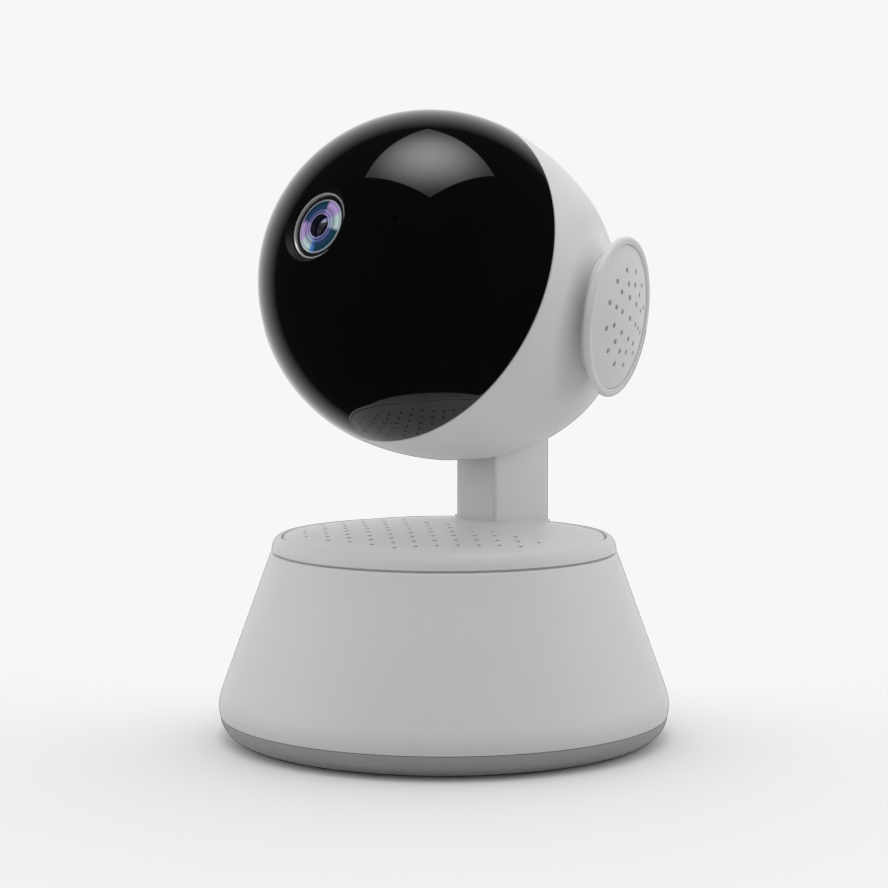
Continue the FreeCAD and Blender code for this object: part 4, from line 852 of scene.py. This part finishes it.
piece_of("front_lens", turned(
    [(0, glass_seat), (front_glass_r, glass_seat, 0.05 * mm), (front_glass_r, 31.52 * mm, 0.08 * mm)]
    + lens_arc(5.35 * mm, 31.56 * mm, lens_front), 160, ahead),
    front_painted_reflections, "head", "front_glass", 40)
# A metallic mirror: these tints colour its real reflections.
inner_mirror_tints = painted_reflection_glass("inner_coated_glass", [
    (turn_share(-180), (0.60, 0.45, 1.0, 1)), (turn_share(-60), (0.30, 0.65, 1.0, 1)),
    (turn_share(60), (0.75, 0.65, 1.0, 1)), (turn_share(179), (0.45, 0.35, 0.95, 1))], [
    (0.0, (1.0, 1.0, 1.0, 1.0)), (0.55, (0.95, 0.97, 1.0, 1.0)), (0.70, (0.5, 0.5, 1.0, 0.5)),
    (1.0, (0.04, 0.04, 0.10, 0.3))],
    inner_glass_r, Roughness=0.08, Metallic=1.0, Coat_Weight=1.0, Coat_Roughness=0.02)
piece_of("inner_lens", turned(
    [(0, inner_seat), (inner_glass_r, inner_seat), (inner_glass_r, inner_glass_edge, 0.1 * mm),
     (3.55 * mm, inner_glass_edge, 0.08 * mm)]
    + bent((3.5 * mm, 29.3 * mm), (2.7 * mm, 29.25 * mm), (2.2 * mm, 29.0 * mm), 4)
    + bent((2.15 * mm, 28.96 * mm), (1.55 * mm, 28.55 * mm), (1.02 * mm, 28.55 * mm), 14)
    + bent((0.98 * mm, 28.57 * mm), (0.55 * mm, 29.35 * mm), (0, 29.4 * mm), 16), 120, ahead),
    inner_mirror_tints, "head", "inner_glass", 40)

# ---------------------------------------------------------------- ears
# A round loudspeaker on each side: a housing with a raised, rounded rim whose neck
# sits in the shell, a domed grille with rings of small holes, and the driver.

grille_r = 14.16 * mm
grille_inner_r = 13.14 * mm
grille_peak = 2.6 * mm
grille_edge = 0.35 * mm
grille_wall = 1 * mm
recess_r = 14.22 * mm
recess_low = -0.7 * mm
neck_low = -6.5 * mm
neck_r = 11.5 * mm
neck_bore_r = 10.1 * mm
ear_hole_r = 0.55 * mm
ear_holes = [(0.0, 0.0)]
for ring_r, count in ((4.15, 6), (6.85, 12), (9.5, 12)):
    ear_holes += [(ring_r * mm * cos(2 * pi * k / count), ring_r * mm * sin(2 * pi * k / count))
                  for k in range(count)]
for side, word in ((1, "right"), (-1, "left")):
    ear = ear_frame(side)
    piece_of("ear_body_" + word, turned([
        (neck_bore_r, neck_low), (neck_r, neck_low), (neck_r, -1.9 * mm)]
        + bent((13.9 * mm, -1.45 * mm), (15.5 * mm, -1.0 * mm), (ear_r, -0.1 * mm), 8)
        + bent((ear_r, -0.05 * mm), (ear_r, 0.74 * mm), (15.0 * mm, 0.75 * mm), 10)
        + [(recess_r, 0.62 * mm, 0.25 * mm), (recess_r, recess_low), (neck_bore_r, recess_low)], 200, ear),
        shell_white, "head", "ear_housing_" + word)
    grille = piece_of("ear_cover_" + word, turned(
        [(grille_r, recess_low), (grille_r, grille_edge, 0.15 * mm)]
        + lens_arc(13.9 * mm, grille_edge + 0.08 * mm, grille_peak, 24)
        + [(0, grille_peak - grille_wall)]
        + lens_arc(grille_inner_r, grille_edge - 0.7 * mm, grille_peak - grille_wall, 16)[::-1][1:]
        + [(grille_inner_r, recess_low)], 200, ear),
        shell_white, "head", "ear_grille_" + word)
    work(grille, together([rod(ear_hole_r, ear @ Vector((x, y, -1 * mm)), ear @ Vector((x, y, 5 * mm)), 24)
                           for x, y in ear_holes]))
dress(black_plastic, "ear_speaker_right", "ear_speaker_left")

# ---------------------------------------------------------------- studio
# A pale floor under a pale backdrop, one square softbox overhead that fades to its
# edges, soft light from all round, and a long lens at the height of the head.

floor_grey = (0.60, 0.60, 0.60, 1)
floor_bm = bmesh.new()
bmesh.ops.create_circle(floor_bm, cap_ends=True, segments=96, radius=3.0)
floor_mesh = bpy.data.meshes.new("floor")
floor_bm.to_mesh(floor_mesh)
floor_bm.free()
floor = bpy.data.objects.new("floor", floor_mesh)
bpy.context.scene.collection.objects.link(floor)
paper = bpy.data.materials.new("floor_paper")
paper.use_nodes = True
paper_shader = paper.node_tree.nodes["Principled BSDF"]
paper_shader.inputs["Base Color"].default_value = floor_grey
paper_shader.inputs["Roughness"].default_value = 0.9
floor_mesh.materials.append(paper)
floor.is_shadow_catcher = True
floor.visible_glossy = False

view_turn = radians(43.8)
view_reach = 0.4598
view_height = 0.0942
view_pitch = radians(4.413)
view_lens = 93.2
camera_data = bpy.data.cameras.new("camera")
camera_data.sensor_width = 36.0
camera_data.lens = view_lens
camera = bpy.data.objects.new("camera", camera_data)
camera.location = (view_reach * sin(view_turn), -view_reach * cos(view_turn), view_height)
camera.rotation_euler = (pi / 2 - view_pitch, 0, view_turn)
bpy.context.scene.collection.objects.link(camera)
bpy.context.scene.camera = camera

softbox_side = 0.44
softbox_height = 0.60
softbox_energy = 1.1
softbox_data = bpy.data.lights.new("softbox", "AREA")
softbox_data.shape = "SQUARE"
softbox_data.size = softbox_side
softbox_data.energy = softbox_energy
softbox_data.use_nodes = True
lamp_nodes = softbox_data.node_tree.nodes
lamp_link = softbox_data.node_tree.links.new
across = lamp_nodes.new("ShaderNodeNewGeometry")
centred = lamp_nodes.new("ShaderNodeVectorMath")
centred.operation = "SUBTRACT"
centred.inputs[1].default_value = (0.5, 0.5, 0.0)
spread = lamp_nodes.new("ShaderNodeVectorMath")
spread.operation = "LENGTH"
fall = lamp_nodes.new("ShaderNodeMapRange")
fall.interpolation_type = "SMOOTHSTEP"
fall.inputs["From Min"].default_value = 0.0
fall.inputs["From Max"].default_value = 0.66
fall.inputs["To Min"].default_value = 2.0
fall.inputs["To Max"].default_value = 0.25
lamp_link(across.outputs["Parametric"], centred.inputs[0])
lamp_link(centred.outputs["Vector"], spread.inputs[0])
lamp_link(spread.outputs["Value"], fall.inputs["Value"])
lamp_link(fall.outputs["Result"], lamp_nodes["Emission"].inputs["Strength"])
softbox = bpy.data.objects.new("softbox", softbox_data)
softbox.location = (0.02, -0.03, softbox_height)
bpy.context.scene.collection.objects.link(softbox)

backdrop_white = 0.93
gloss_dark = 0.02
gloss_white = 0.95
world = bpy.data.worlds.new("studio")
bpy.context.scene.world = world
world.use_nodes = True
air = world.node_tree.nodes
wire = world.node_tree.links.new
path = air.new("ShaderNodeLightPath")
direction = air.new("ShaderNodeTexCoord")
away = Vector((-sin(view_turn), cos(view_turn), 0.0))
right = Vector((cos(view_turn), sin(view_turn), 0.0))
up = Vector((0.0, 0.0, 1.0))


def towards(heading):
    """How far a ray of light comes from one side, from 1 to -1."""
    dot = air.new("ShaderNodeVectorMath")
    dot.operation = "DOT_PRODUCT"
    dot.inputs[1].default_value = heading.normalized()
    wire(direction.outputs["Generated"], dot.inputs[0])
    return dot.outputs["Value"]


def ramp(source, start, end, low, high):
    """A strength that grows from low to high while the source goes from start to end."""
    step = air.new("ShaderNodeMapRange")
    step.inputs["From Min"].default_value = start
    step.inputs["From Max"].default_value = end
    step.inputs["To Min"].default_value = low
    step.inputs["To Max"].default_value = high
    wire(source, step.inputs["Value"])
    return step.outputs["Result"]


def blend(factor, a, b):
    """Strength a where the factor is 0, and b where it is 1."""
    mix = air.new("ShaderNodeMix")
    for socket, value in (("Factor", factor), ("A", a), ("B", b)):
        if isinstance(value, float):
            mix.inputs[socket].default_value = value
        else:
            wire(value, mix.inputs[socket])
    return mix.outputs["Result"]


def plus(a, b):
    """Two strengths added."""
    total = air.new("ShaderNodeMath")
    total.operation = "ADD"
    wire(a, total.inputs[0])
    wire(b, total.inputs[1])
    return total.outputs["Value"]


seen_in_gloss = ramp(towards(away), 0.55, 1.0, gloss_dark, gloss_white)
soft_sides = [(away + right, 0.90), (away - right, 0.62), (-right, 0.80), (-away, 0.16), (right, 0.66),
              (up + away, 0.24)]
lighting = reduce(plus, [ramp(towards(side), 0.0, 1.0, 0.0, strength) for side, strength in soft_sides])
level = blend(path.outputs["Is Glossy Ray"], lighting, seen_in_gloss)
level = blend(path.outputs["Is Transmission Ray"], level, seen_in_gloss)
level = blend(path.outputs["Is Camera Ray"], level, backdrop_white)
wire(level, air["Background"].inputs["Strength"])
air["Background"].inputs["Color"].default_value = (1, 1, 1, 1)

bpy.context.scene.view_settings.view_transform = "Standard"
